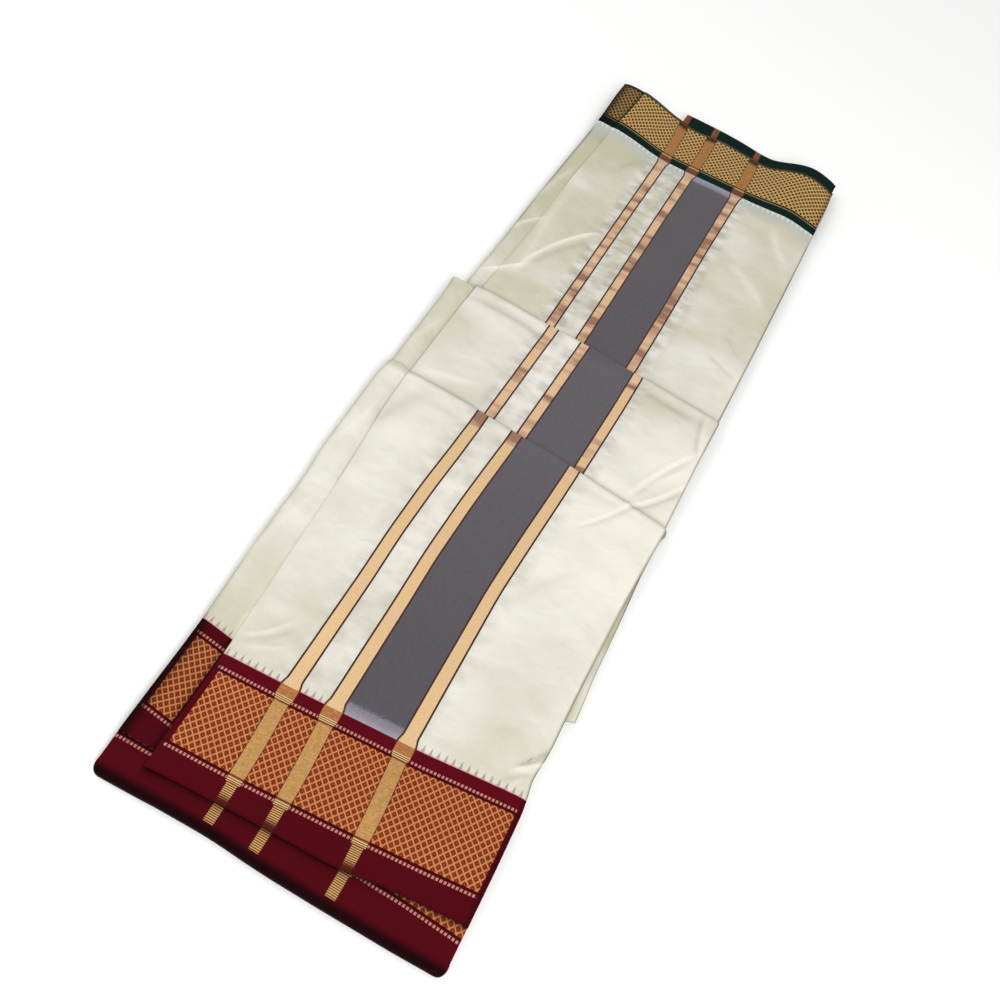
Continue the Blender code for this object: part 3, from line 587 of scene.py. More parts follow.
def stack_outline():
    """The stack's outline from the green end down its left side, round the maroon end and back up."""
    left_y = np.arange(868.0, NEAR_CORNER, -2.0 * FINE)
    left = np.stack([left_fold(np.full_like(left_y, -130.0), left_y), left_y], axis=-1)
    angle = np.linspace(0.0, 0.5 * np.pi, 9)[1:-1]
    start, end = reading(LEFT_BEFORE_STEP, NEAR_CORNER), reading(RIGHT_FOLD, NEAR_CORNER)
    out, back = NEAR_CORNER * (1 - np.cos(angle)), NEAR_CORNER * (1 - np.sin(angle))
    corner_1 = np.stack([start + out, back], axis=-1)
    near_x = np.arange(start + NEAR_CORNER, end - NEAR_CORNER, 2.0 * FINE)
    near = np.stack([near_x, np.zeros_like(near_x)], axis=-1)
    corner_2 = np.stack([end - back, out], axis=-1)
    right_y = np.arange(NEAR_CORNER, 872.0, 2.0 * FINE)
    right = np.stack([reading(RIGHT_FOLD, right_y), right_y], axis=-1)
    far_x = np.arange(122.0, -122.0, -2.0 * FINE)
    far_y = np.where(far_x > -46.0, UNDER_GREEN_EDGE(far_x) - 1.0, FAR_EDGE(far_x) - 1.0)
    far = np.stack([far_x, far_y], axis=-1)
    outline = np.concatenate([left, corner_1, near, corner_2, right, far])
    outline[:, 1] = to_near_end(outline[:, 0], outline[:, 1])
    return outline


outline = stack_outline()
ahead = np.roll(outline, -2, axis=0) - np.roll(outline, 2, axis=0)
outward = np.stack([ahead[:, 1], -ahead[:, 0]], axis=-1) / np.linalg.norm(ahead, axis=1, keepdims=True)
distance = np.concatenate([[0.0], np.cumsum(np.linalg.norm(np.diff(outline, axis=0), axis=1))])
at_ends = np.clip(np.abs(outward[:, 1]) * 1.4 - 0.3, 0.0, 1.0)
rim_angle = np.linspace(-0.5 * np.pi, 0.5 * np.pi, 9)
RIM = 1.5  # how far in a leaf's rounded rim starts
LEAF_DEPTHS = [-22.0, -7.0]  # places on a leaf's flat faces, measured out from its rim
leaf_section = np.concatenate([LEAF_DEPTHS, RIM * (np.cos(rim_angle) - 1.0), LEAF_DEPTHS[::-1]])


def leaf_loops(leaf):
    """One leaf's loops round its outline: an inner edge, a flat underside, a rounded rim, a flat top.

    The rim is half an ellipse as high as the leaf; at the bundle's ends a notch parts its two selvedges.
    """
    inset, phase_1, phase_2 = LEAF_LEAN[leaf]
    lean = 1.6 + inset + 0.7 * np.sin(distance / 61.0 + phase_1) + 0.5 * np.sin(distance / 23.0 + phase_2)
    lean = lean + 1.2 * at_ends
    if leaf >= LEAVES - 2:
        lean = lean - reading(PROUD, outline[:, 1], 1.0) * (outward[:, 0] > 0.5)
    level = np.concatenate([[0.0, 0.0], 0.5 + 0.49 * np.sin(rim_angle), [1.0, 1.0]])
    notch = np.concatenate([[0.0, 0.0], np.exp(-(rim_angle / 0.4) ** 2), [0.0, 0.0]])
    shift = leaf_section[None, :] - lean[:, None] - notch[None, :] * at_ends[:, None]
    plan = outline[:, None, :] + outward[:, None, :] * shift[..., None]
    top = stack_top(plan[..., 0], np.clip(plan[..., 1], 0.0, 886.0))
    height = top * (leaf + 0.02 + 0.96 * level[None, :]) / LEAVES
    return np.concatenate([plan, height[..., None]], axis=-1)


def add_leaves(name, chosen, material, facts_at):
    """Join the leaves' loops over one stretch of the outline, and close each stretch at its two ends."""
    points, faces, start = [], [], 0
    for leaf in range(LEAVES):
        loops = leaf_loops(leaf)
        for stretch in chosen:
            part = loops[stretch]
            rows, columns = part.shape[:2]
            row, column = np.meshgrid(np.arange(rows - 1), np.arange(columns), indexing="ij")
            beside = (column + 1) % columns
            corners = [(row, column), (row, beside), (row + 1, beside), (row + 1, column)]
            quads = np.stack([start + r * columns + c for r, c in corners], axis=-1).reshape(-1, 4)
            faces += quads.tolist()
            first_cap = start + np.arange(columns)
            last_cap = first_cap + (rows - 1) * columns
            faces += [first_cap[::-1].tolist(), last_cap.tolist()]
            points.append(part.reshape(-1, 3))
            start += rows * columns
    points = np.concatenate(points)
    section = np.tile(leaf_section, len(points) // len(leaf_section))
    return add_piece(name, points, faces, facts_at(points, section), material)


GROUND_GAP = 0.08  # a point lower than this lies on the ground
FAR_FROM_BAND = 100.0  # farther than any band's pattern reaches


def stack_facts(points, section):
    """Where each point of the hidden layers lies in the cloth, and that no gold band is near.

    The cream leaves get painted shade where they lie together, darker the lower they lie, but not on the
    ground; the leaf that stands proud has a paler top, with painted shade by the flap's fold and at its
    rim. The maroon and green edges are dimmed by painted shade, most at the near end.
    """
    across, along, height = points.T
    into_cream = along - MAROON_LINE(across)
    from_green = GREEN_LINE(across) - along
    cloth = np.stack([across + 1.3 * height, into_cream, from_green], axis=-1)
    tone = np.where(along < 8.0, 0.2, 0.7)
    in_cream = (into_cream > 0.0) & (from_green > 0.0) & (height > GROUND_GAP)
    level = height / stack_top(across, np.clip(along, 0.0, 886.0))
    proud = ease(level, 0.87, 0.96) * ease(along, 180.0, 186.0) * (1.0 - ease(along, 372.0, 380.0))
    by_flap = np.exp(-np.clip(across - reading(RIGHT_FOLD, along), 0.0, 50.0) / 2.0)
    by_rim = np.exp(section / 0.8)
    proud = proud * (1.6 - 1.3 * by_flap - 3.4 * by_rim) * (across > 0.0)
    tone = np.where(in_cream, -2.0 + 0.17 * height + proud, tone)
    still = np.zeros(len(points))
    return {"cloth": cloth, "band": still + FAR_FROM_BAND, "inset": still, "tone": tone, "pressed": still}


def seam(along, side):
    """Number of the outline's point nearest to a place along its left side (-1) or right side (1)."""
    return np.argmin(np.abs(outline[:, 1] - along) + 1000.0 * (side * outline[:, 0] < 0.0))


index = np.arange(len(outline))
left_green, left_maroon = seam(806.0, -1), seam(118.0, -1)
right_maroon, right_green = seam(117.0, 1), seam(800.0, 1)
left_side = index[left_green:left_maroon + 1]
maroon_end = index[left_maroon:right_maroon + 1]
right_side = index[right_maroon:right_green + 1]
green_end = np.concatenate([index[right_green:], index[:left_green + 1]])
for name, chosen, length, material, slot in (
    ("folded_maroon_edges", [maroon_end], 0.485, maroon_cloth, "maroon_border"),
    ("folded_cream_edges", [left_side, right_side], 1.37, cream_cloth, "cream_cloth"),
    ("folded_green_edges", [green_end], 0.379, green_cloth, "green_border"),
):
    edges = add_leaves(name, chosen, material, stack_facts)
    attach(edges, "root")
    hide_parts("hidden_layers")


# ---- the underside ----
# The lowest layer of the same cotton-silk and its two borders. It lies on the ground inside the folded
# edges, pressed flat, and the bundle's creases show in it softly.

CLOTH_THICKNESS = 0.5
UNDER_FACE = 0.55  # height of its upper face, a little more than the cloth's thickness
FAR_FROM_SIDE = 50.0  # farther than any pattern's margin


def grid_faces(rows, columns):
    """The quads of a grid of points, facing up when its rows run along and its columns across."""
    row, column = np.meshgrid(np.arange(rows - 1), np.arange(columns - 1), indexing="ij")
    corners = ((row, column), (row, column + 1), (row + 1, column + 1), (row + 1, column))
    return np.stack([r * columns + c for r, c in corners], axis=-1).reshape(-1, 4)


def add_sheet(name, points, facts, material):
    """Make one sheet of cloth from a grid of points and the facts at each of them."""
    rows, columns = points.shape[:2]
    faces = grid_faces(rows, columns)
    facts = {fact: values.reshape(rows * columns, -1).squeeze() for fact, values in facts.items()}
    return add_piece(name, points.reshape(-1, 3), faces, facts, material, CLOTH_THICKNESS)


def shifted(line, shift):
    """The same line across the bundle, moved along it."""
    return lambda across: line(across) + shift


for name, near, far, length, material, slot in (
    ("underside_maroon", cross_line(0.0, 0.0, 0.0), MAROON_LINE, 0.107, maroon_cloth, "maroon_border"),
    ("underside_cream", MAROON_LINE, GREEN_LINE, 0.689, cream_cloth, "cream_cloth"),
    ("underside_green", GREEN_LINE, shifted(FAR_EDGE, -3.0), 0.070, green_cloth, "green_border"),
):
    share = np.linspace(0.0, 1.0, int((far(0.0) - near(0.0)) / (2.0 * FINE)))[:, None]
    share_across = np.linspace(0.0, 1.0, int(120 / FINE))[None, :]
    middle = (1.0 - share) * near(0.0) + share * far(0.0)
    left = left_fold(np.zeros_like(middle), middle) + 10.0
    right = reading(RIGHT_FOLD, middle) - 10.0
    across = left + (right - left) * share_across
    along = (1.0 - share) * near(across) + share * far(across)
    creased = creasing(-across, along)
    points = np.stack([across, along, UNDER_FACE + 0.3 * np.clip(creased, 0.0, 1.5)], axis=-1)
    # Painted shade where the creases rise and a painted highlight where they sink.
    facts = {
        "cloth": np.stack([across, along - MAROON_LINE(across), GREEN_LINE(across) - along], axis=-1),
        "band": np.full_like(across, FAR_FROM_BAND),
        "inset": np.full_like(across, FAR_FROM_SIDE),
        "tone": np.full_like(across, 0.9),
        "pressed": np.clip(-0.5 * creased, -1.0, 1.0),
    }
    under = add_sheet(name, points, facts, material)
    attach(under, "root")
    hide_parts("hidden_layers")


# ---- the third layer's strips ----
# The next layer's two silk borders show past the flap at both ends. The maroon one is rolled down over
# the near edge, with its bead line and the gold bands' rungs, and the green one is plain.

FOLD_RADIUS = 0.55
NEAR_ROLL = 3.4  # radius of the roll over the near edge
STRIP_START = 3.0  # where the roll starts, along
FAR_FROM_BORDER = 1000.0  # farther than any border's pattern reaches
# Place of the strip's own line of beads (across, along).
BEAD_ROW = ((-125, 22.8), (0, 22.5), (50, 21.7), (85, 20.9), (126, 18.0))
# The selvedges of the two layers above it, where they end: the second layer's and the flap's.
SECOND_SELVEDGE = cross_line(26.0, 0.0, 0.0)
NEAR_SELVEDGE = wave_line(
    (-100, 13.9), (-45, 17.1), (13, 18.6), (34, 18.9), (50, 21.0), (75, 24.4), (90, 26.0), (123, 28.4),
)
# Lines along each of the flap's panels. A row holds: along, then the places across of the free end, of
# the three gold bands' middles and of the right fold, then the gold bands' width.
FLAP_LINES = {
    "near": (
        (15, -99.5, -45.2, -11.1, 44.7, 128.2, 10.0), (60, -100.5, -46.9, -13.1, 41.9, 127.6, 11.0),
        (108, -101.5, -50.4, -17.5, 36.9, 126.3, 10.5), (118, -102.1, -50.4, -17.6, 36.8, 123.9, 10.5),
        (130, -102.9, -50.5, -17.7, 36.6, 122.3, 10.4), (146, -103.9, -50.5, -17.9, 36.3, 125.2, 10.3),
        (200, -107.3, -50.6, -18.5, 35.5, 124.4, 10.0), (250, -109.7, -51.4, -19.4, 34.8, 124.5, 9.8),
        (300, -114.0, -50.8, -18.5, 36.6, 125.0, 10.0), (345, -117.8, -48.5, -16.5, 38.7, 126.5, 9.8),
        (388, -119.3, -47.2, -14.4, 40.4, 128.5, 9.5),
    ),
    "middle": (
        (388, -119.2, -42.3, -11.1, 43.5, 127.5, 8.5), (465, -119.0, -39.9, -8.3, 46.2, 127.4, 8.6),
        (512, -117.5, -38.4, -6.7, 46.8, 128.5, 8.7),
    ),
    "far": (
        (512, -114.0, -43.6, -13.0, 38.3, 127.6, 8.4), (600, -109.9, -43.1, -12.7, 39.2, 128.6, 8.4),
        (700, -109.4, -42.8, -12.5, 39.2, 129.0, 8.4), (797, -106.0, -42.1, -11.2, 40.6, 129.0, 9.5),
        (840, -101.6, -43.8, -10.6, 40.2, 128.9, 10.5), (878, -100.0, -46.2, -12.6, 38.2, 127.3, 10.5),
    ),
}


def flap_edges(panel, along):
    """Places across of the flap's free end, of both edges of its three gold bands and of its right fold."""
    table = np.array(FLAP_LINES[panel], dtype=float)
    free_end, gold_1, gold_2, gold_3, right, width = (
        reading(table[:, [0, column]], along, 20.0) for column in range(1, 7)
    )
    half = 0.5 * width
    bands = [edge for gold in (gold_1, gold_2, gold_3) for edge in (gold - half, gold + half)]
    return np.stack([free_end, *bands, right - FOLD_RADIUS], axis=-1)


def band_distance(across, edges, into_cream=FAR_FROM_BORDER):
    """Distance outside the nearest gold band's edge, below 0 inside the band, which flares at the border."""
    outside = []
    for first in (1, 3, 5):
        start, end = edges[..., first], edges[..., first + 1]
        outside.append(np.abs(across - 0.5 * (start + end)) - 0.5 * (end - start))
    flare = ease(into_cream, -13.0, -8.0) * (1.0 - ease(into_cream, 0.0, 7.0))
    return np.minimum.reduce(outside) - 1.4 * flare


near_rows = STRIP_START + NEAR_CORNER * (1.0 - np.cos(np.linspace(0.0, 0.5 * np.pi, 8)))
third_y = np.concatenate([near_rows, np.arange(STRIP_START + 9.6, 49.0, FINE)])
in_corner = np.clip(1.0 - (third_y - STRIP_START) / NEAR_CORNER, 0.0, 1.0)
turned_in = NEAR_CORNER * (1.0 - np.sqrt(1.0 - in_corner ** 2))
left = reading(LEFT_BEFORE_STEP, third_y) + FOLD_RADIUS + turned_in
right = reading(RIGHT_FOLD, third_y) - FOLD_RADIUS - turned_in
across = left[:, None] + (right - left)[:, None] * np.linspace(0.0, 1.0, int(250 / FINE))[None, :]
along = np.repeat(third_y[:, None], across.shape[1], axis=1)
grid = np.stack([across, along, third_face(across, along)], axis=-1)
rows, columns = across.shape
left_side = np.arange(rows - 1, -1, -1) * columns
right_side = np.arange(1, rows) * columns + columns - 1
chain = np.concatenate([left_side, np.arange(1, columns), right_side])
rim = grid.reshape(-1, 3)[chain]
ahead = np.gradient(rim[:, :2], axis=0)
outward_rim = np.stack([ahead[:, 1], -ahead[:, 0]], axis=-1) / np.linalg.norm(ahead, axis=1, keepdims=True)
to_near = np.clip(-outward_rim[:, 1], 0.0, 1.0)[:, None, None]
turn = np.linspace(0.0, np.pi, 9)[1:]
side_roll = np.stack([FOLD_RADIUS * np.sin(turn), FOLD_RADIUS * (1.0 - np.cos(turn))], axis=-1)
side_roll = np.concatenate([side_roll, [[-3.0, 2.0 * FOLD_RADIUS], [-8.0, 2.0 * FOLD_RADIUS]]])
near_turn = np.linspace(0.0, 0.5 * np.pi, 8)[1:]
near_roll = np.stack([NEAR_ROLL * np.sin(near_turn), NEAR_ROLL * (1.0 - np.cos(near_turn))], axis=-1)
near_roll = np.concatenate([near_roll, NEAR_ROLL + np.array([[0.0, 1.4], [-0.2, 2.7], [-1.2, 3.2]])])
roll = (1.0 - to_near) * side_roll[None] + to_near * near_roll[None]
skirt = rim[:, None, :] + np.concatenate([outward_rim[:, None, :] * roll[..., :1], -roll[..., 1:]], axis=-1)
points = np.concatenate([grid.reshape(-1, 3), skirt.reshape(-1, 3)])
points[:, 1] = to_near_end(points[:, 0], points[:, 1])
skirt_index = rows * columns + np.arange(len(chain) * roll.shape[1]).reshape(len(chain), -1)
strip_index = np.concatenate([chain[:, None], skirt_index], axis=1)
here, beyond = strip_index[:-1], strip_index[1:]
quads = np.stack([here[:, :-1], here[:, 1:], beyond[:, 1:], beyond[:, :-1]], axis=-1)
faces = np.concatenate([grid_faces(rows, columns), quads.reshape(-1, 4)])
across, along = points[:, 0], points[:, 1]
edges = flap_edges("near", np.full(len(points), 15.0))
fallen = np.concatenate([np.zeros(rows * columns), (to_near[..., 0] * roll[..., 1]).ravel()])
depth = 72.2 + reading(BEAD_ROW, across) - along + fallen
# Painted shade: dark on the side rolled down over the near edge, and a painted shadow just below the
# selvedges of the layers above.
rolled_down = ease(NEAR_END(across) - along, -10.0, -2.0)
clear_of_above = np.where(across > -99.5, NEAR_SELVEDGE(across), SECOND_SELVEDGE(across)) - along
shade = np.exp(-np.clip(clear_of_above, 0.0, 50.0) / 2.6)
facts = {
    "cloth": np.stack([across - edges[:, 3] - 5.0, -depth, np.full(len(points), FAR_FROM_BORDER)], axis=-1),
    "band": np.where(along > NEAR_END(across) + 6.0, band_distance(across, edges), FAR_FROM_BAND),
    "inset": np.full(len(points), FAR_FROM_SIDE),
    "tone": (1.0 - 0.9 * rolled_down) * (1.0 - 0.75 * shade),
}
third_maroon = add_piece("third_maroon_strip", points, faces, facts, maroon_cloth, CLOTH_THICKNESS)
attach(third_maroon, "root")
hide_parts("third_maroon_border")


def level_rows(start, end, lift=0.0, panels=("near", "near")):
    """Rows of level cloth between two lines across the bundle."""
    share = np.linspace(0.0, 1.0, max(2, int(round((end(0.0) - start(0.0)) / FINE)) + 1))
    still = np.zeros_like(share)
    return {
        "start": start, "end": end, "share": share, "shift": still, "lift": still + lift, "drop": still,
        "turn": still, "panels": panels, "mix": still,
    }


def tuck_rows(crest, lift, panels):
    """Rows of a knife tuck: a half turn over its crest, back under, a half turn inside it, and forward."""
    angle = np.linspace(0.0, np.pi, 11)
    back = np.linspace(0.0, -TUCK_DEPTH, 14)[1:-1]
    radius, inner = 1.2, 0.2
    low = -2.0 * radius
    shift = np.concatenate([
        radius * np.sin(angle), back, -TUCK_DEPTH - inner * np.sin(angle), back[::-1], [0.0],
    ])
    drop = np.concatenate([
        -radius + radius * np.cos(angle), np.full(len(back), low),
        low - inner + inner * np.cos(angle), np.full(len(back) + 1, low - 2.0 * inner),
    ])
    turn = np.concatenate([angle, np.full(len(back), np.pi), angle[::-1], np.zeros(len(back) + 1)])
    to_next_panel = np.clip(back[::-1] / 60.0 + 1.0, 0.0, 1.0)
    mix = np.concatenate([np.zeros(2 * len(angle) + len(back)), to_next_panel, [1.0]])
    still = np.zeros_like(shift)
    return {
        "start": crest, "end": crest, "share": still, "shift": shift, "lift": still + lift, "drop": drop,
        "turn": turn, "panels": panels, "mix": mix,
    }


def turned_under(line, lift, length, panels):
    """Rows of a hem: a half turn down over a line across the bundle, and back under the cloth."""
    angle = np.linspace(0.0, np.pi, 9)
    back = np.linspace(0.0, -length, 5)[1:]
    shift = np.concatenate([FOLD_RADIUS * np.sin(angle), back])
    turn = np.concatenate([angle, np.full(len(back), np.pi)])
    drop = -FOLD_RADIUS + FOLD_RADIUS * np.cos(turn)
    still = np.zeros_like(shift)
    return {
        "start": line, "end": line, "share": still, "shift": shift, "lift": still + lift, "drop": drop,
        "turn": turn, "panels": panels, "mix": still,
    }


def lay(segments, edges_at, columns_at, face_height, pinch=lambda across, along: 1.0):
    """Lay cloth over its path.

    Each row of a segment lies a share of the way between two lines across the bundle, moved along by
    its shift. Each point's height is the face's there, plus the row's lift, plus its drop in a fold,
    which pinch makes less where the fold is squeezed flat. Rows that two segments share are kept once.
    Returns the points, each row's edges across, and the angle each row's face has turned.
    """
    grids, row_edges, turns = [], [], []
    for number, rows in enumerate(segments):
        share, shift, lift, drop, mix = (
            rows[key][:, None] for key in ("share", "shift", "lift", "drop", "mix")
        )
        start, end = rows["start"], rows["end"]
        before, after = rows["panels"]
        middle = ((1.0 - share) * start(0.0) + share * end(0.0) + np.minimum(shift, 0.0))[:, 0]
        edges = (1.0 - mix) * edges_at(before, middle) + mix * edges_at(after, middle)
        across = columns_at(edges)
        along = (1.0 - share) * start(across) + share * end(across) + shift
        height = face_height(across, along) + lift + drop * pinch(across, along)
        first = 1 if number else 0
        grids.append(np.stack([across, along, height], axis=-1)[first:])
        row_edges.append(edges[first:])
        turns.append(rows["turn"][first:])
    return np.concatenate(grids), np.concatenate(row_edges), np.concatenate(turns)


def run_along(points):
    """Distance along the cloth from its first row to each point: the steps between rows, summed."""
    steps = np.linalg.norm(np.diff(points, axis=0), axis=-1)
    return np.concatenate([np.zeros((1, points.shape[1])), np.cumsum(steps, axis=0)])


def fold_under(points, turns, side):
    """Add a column of folds at the sheet's side: a half turn from the face to the back, then back inwards.

    The turn starts at the droop's own slope, so that the fold runs on from the face with no corner.
    """
    facing = np.stack([np.zeros_like(turns), np.sin(turns), np.cos(turns)], axis=-1)[:, None, :]
    outward = np.array([side, 0.0, 0.0])
    angle = np.linspace(0.3, np.pi, 8)[1:]
    out = np.concatenate([FOLD_RADIUS * (np.sin(angle) - np.sin(0.3)), [-2.5, -8.0]])
    down = np.concatenate([FOLD_RADIUS * (np.cos(0.3) - np.cos(angle)), [2.0 * FOLD_RADIUS] * 2])
    edge = points[:, -1:] if side > 0 else points[:, :1]
    added = edge + out[None, :, None] * outward - down[None, :, None] * facing
    return np.concatenate([points, added] if side > 0 else [added[:, ::-1], points], axis=1)


def flap_face(across, along):
    """Height of the flap's face: the crown, drooping at the free end on to the layer below."""
    inside = across - reading(FREE_END, along, 20.0)
    droop = 0.65 * (1.0 - ease(inside, 0.0, 5.0))
    droop = droop + 1.1 * over_tucks(across, along) * (1.0 - ease(inside, 0.0, 9.0))
    return crown(across, along) - droop


def flap_pinch(across, along):
    """How far the flap's tucks stay open: at its free end they are squeezed close."""
    return 0.42 + 0.58 * ease(across - reading(FREE_END, along, 20.0), 0.0, 10.0)


def strip_columns(first, last, count):
    """Columns evenly spaced between two of the cloth's edges across."""
    share = np.linspace(0.0, 1.0, count)
    return lambda edges: edges[:, first:first + 1] + (edges[:, last] - edges[:, first])[:, None] * share


def green_strip_edges(panel, along):
    """Places across of the green strip's two ends."""
    return np.stack([np.full_like(along, -49.0), np.full_like(along, 126.2)], axis=-1)


strip_path = [
    level_rows(shifted(GREEN_LINE, 46.0), UNDER_GREEN_EDGE, 0.0, ("far", "far")),
    turned_under(UNDER_GREEN_EDGE, 0.0, 12.0, ("far", "far")),
]
points, edges, turns = lay(strip_path, green_strip_edges, strip_columns(0, 1, int(176 / FINE)), third_face)
points = fold_under(points, turns, 1)
across = points[..., 0]
band = band_distance(across, flap_edges("far", points[..., 1]))
# All of it lies in the border's plain green, 6 mm out from the cream.
into_cream, from_green = np.full_like(across, FAR_FROM_BORDER), np.full_like(across, -6.0)
facts = {
    "cloth": np.stack([across + 12.6, into_cream, from_green], axis=-1),
    "band": band + 2.0,
    "inset": np.full_like(across, FAR_FROM_SIDE),
    "tone": 0.9 + 0.4 * (band < -2.0),
}
third_green = add_sheet("third_green_strip", points, facts, green_cloth)
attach(third_green, "root")
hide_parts("third_green_border")


# ---- the second layer ----
# The layer under the flap, which shows beyond the flap's cut end as far as its own fold on the left.
# It is cream cotton-silk with the borders across its ends, folded and tucked together with the flap.

# Its maroon border's edge and its tucks' crests, which lie a little off the flap's.
SECOND_MAROON_LINE = cross_line(103.0, -0.13, 0.0)
SECOND_CREST_1 = shifted(CREST_1, 3.5)
SECOND_CREST_2 = shifted(CREST_2, -2.5)
UNDER_FLAP = 13.0  # how far the layer reaches in under the flap's cut end


def second_edges(panel, along):
    """Places across of the second layer's left fold and of its hidden edge under the flap."""
    fold = reading(LEFT_AFTER_STEP if panel == "far" else LEFT_BEFORE_STEP, along)
    return np.stack([fold + FOLD_RADIUS, flap_edges(panel, along)[..., 0] + UNDER_FLAP], axis=-1)


def panel_path(start, crest_1, crest_2, end):
    """The path of the tucked cloth between the two borders."""
    return [
        level_rows(start, crest_1),
        tuck_rows(crest_1, 0.0, ("near", "middle")),
        level_rows(crest_1, crest_2, -STEP, ("middle", "middle")),
        tuck_rows(crest_2, -STEP, ("middle", "far")),
        level_rows(crest_2, end, -2.0 * STEP, ("far", "far")),
    ]


def second_piece(name, path, into_cream, from_green, material, tones):
    """Lay one stretch of the second layer and fold it under on the left.

    Its paleness comes from a table along the cloth, with painted shade at the fold and a painted shadow
    of the flap beside its cut end.
    """
    points, edges, turns = lay(path, second_edges, strip_columns(0, 1, int(38 / FINE)), second_face)
    points = fold_under(points, turns, -1)
    run = run_along(points)
    across = points[..., 0]
    from_fold = across - edges[:, :1]
    past_cut_end = across - edges[:, 1:] + UNDER_FLAP
    tone = reading(tones, run)
    if material == cream_cloth:
        tone = tone - 1.2 * (1.0 - ease(from_fold, -0.5, 2.5)) - 0.3 * ease(past_cut_end, -2.0, -0.5)
    else:
        shade_start = -6.5 if material == maroon_cloth else -2.5
        tone = tone * (0.12 + 0.88 * ease(from_fold, -0.5, 11.0))
        tone = tone * (1.0 - 0.6 * ease(past_cut_end, shade_start, -0.5))
    facts = {
        "cloth": np.stack([across + 1.7, into_cream(run), from_green(run)], axis=-1),
        "band": np.full_like(across, FAR_FROM_BAND),
        "inset": np.minimum(np.abs(from_fold), edges[:, 1:] - 10.4 - across),
        "pressed": pressing(across, points[..., 1]),
        "tone": tone,
    }
    return add_sheet(name, points, facts, material)


# How pale the cream is along the cloth, lower values being painted shade, most by the green border (distance
# from the maroon border, tone).
SECOND_TONES = (
    (0, -0.3), (30, 0.0), (70, 0.2), (130, 0.6), (200, 0.55), (262, 0.4), (480, 0.25), (510, 0.0),
    (545, 0.0), (572, 0.2), (600, -0.4), (812, 0.15), (847, 0.4), (882, -0.1), (917, -0.7), (952, -0.4),
    (990, -0.85), (1060, -0.75), (1090, -1.15),
)


def to_selvedge(run):
    """Distance from the far selvedge: the row where the cloth turns under, 13th from the last."""
    return run[-13:-12] - run


# The second layer's borders are dimmed as painted shade, the green one most.
second_maroon = second_piece(
    "second_layer_maroon_border", [level_rows(SECOND_SELVEDGE, SECOND_MAROON_LINE)],
    lambda run: run - run[-1:], lambda run: run + 10.0, maroon_cloth, ((0, 0.85),),
)
second_cream = second_piece(
    "second_layer_cream", panel_path(SECOND_MAROON_LINE, SECOND_CREST_1, SECOND_CREST_2, GREEN_LINE),
    lambda run: run, lambda run: run[-1:] - run, cream_cloth, SECOND_TONES,
)
far_border_path = [
    level_rows(GREEN_LINE, FAR_EDGE, -2.0 * STEP, ("far", "far")),
    turned_under(FAR_EDGE, -2.0 * STEP, 15.0, ("far", "far")),
]
second_green = second_piece(
    "second_layer_green_border", far_border_path, to_selvedge, lambda run: -run, green_cloth, ((0, 0.5),),
)
second_panels = ("second_near_panel", "second_middle_panel", "second_far_panel")
for piece, nodes, slot, flat in (
    (second_maroon, ("second_maroon_border",), "maroon_border", (0.050, 0.090)),
    (second_cream, second_panels, "cream_cloth", (0.048, 1.09)),
    (second_green, ("second_green_border",), "green_border", (0.045, 0.088)),
):
    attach(piece, "root")
    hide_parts(*nodes)


# ---- the flap ----
# The cloth's free end, on top: cream cotton-silk with a grey band and three gold bands woven along it.
# They run on across both borders. Two knife tucks shorten it, and its right side folds under.

STRIPS = (
    "cream_left", "gold_band_1", "cream_between", "gold_band_2", "grey_band", "gold_band_3", "cream_right",
)
STRIP_COLUMNS = [int(width / FINE) + 1 for width in (62, 12, 24, 12, 46, 12, 84)]

# Gold band: rayon wound with gilt foil, woven in ribs across the band between two dark brown lines. It is
# bright gold near the maroon end and rosy on the tucked panels beyond, where dark and light patches are a
# painted reflection of the foil's sheen, with painted shade by the first crest. The foil also gives it a
# soft metal sheen.
RIB_PITCH = 0.9
gold_cloth, add = new_material("ribbed_gold_zari")
place = add("Attribute", {}, 1, attribute_name="cloth")
band = add("Attribute", {}, 2, attribute_name="band")
tone = add("Attribute", {}, 2, attribute_name="tone")
patches = add("Mapping", {"Vector": place, "Scale": (0.02, 0.085, 0.0), "Rotation": (0.0, 0.0, 0.1)})
patches = add("TexNoise", {"Vector": patches, "Scale": 1.0, "Detail": 1.0, "Roughness": 0.4})
# Light and dark patches of painted sheen, rosier and darker where the tone is higher.
patches = add("Math", {0: tone, 1: 0.75, 2: patches}, operation="MULTIPLY_ADD")
colour = add("ValToRGB", {"Fac": patches}, stops=(
    (0.60, "#e3bf8e"), (0.80, "#e2be98"), (0.94, "#bf9676"), (1.08, "#9d745c"),
))
split = add("SeparateXYZ", {0: place})
rib = add("Math", {0: split.node.outputs[1], 1: 0.5 * RIB_PITCH}, operation="PINGPONG")
grain = add("Mapping", {"Vector": place, "Scale": (0.6, 1.4, 0.0)})
grain = add("TexNoise", {"Vector": grain, "Scale": 1.0, "Detail": 2.0})
shade = add("MapRange", {"Value": grain, "From Min": 0.3, "From Max": 0.7, "To Min": 0.86, "To Max": 1.08})
colour = add("Mix", {"Factor": 1.0, "A": colour, "B": shade}, data_type="RGBA", blend_type="MULTIPLY")
rosy = add("MapRange", {
    "Value": split.node.outputs[2], "From Min": 0.0, "From Max": 12.0, "To Min": 0.7, "To Max": 0.0})
line = add("Math", {0: band, 1: -0.55}, operation="GREATER_THAN")
for share, over in ((rosy, "#bf9c92"), (line, DARK_THREAD)):
    colour = add("Mix", {"Factor": share, "A": colour, "B": over}, data_type="RGBA")
metallic = add("MapRange", {"Value": line, "To Min": 0.35, "To Max": 0.0})
bump = add("Bump", {"Height": rib, "Strength": 0.4, "Distance": 0.0002})
shader = add("BsdfPrincipled", {
    "Base Color": colour, "Roughness": 0.42, "Metallic": metallic, "Specular IOR Level": 0.4, "Normal": bump,
})
add("OutputMaterial", {"Surface": shader})
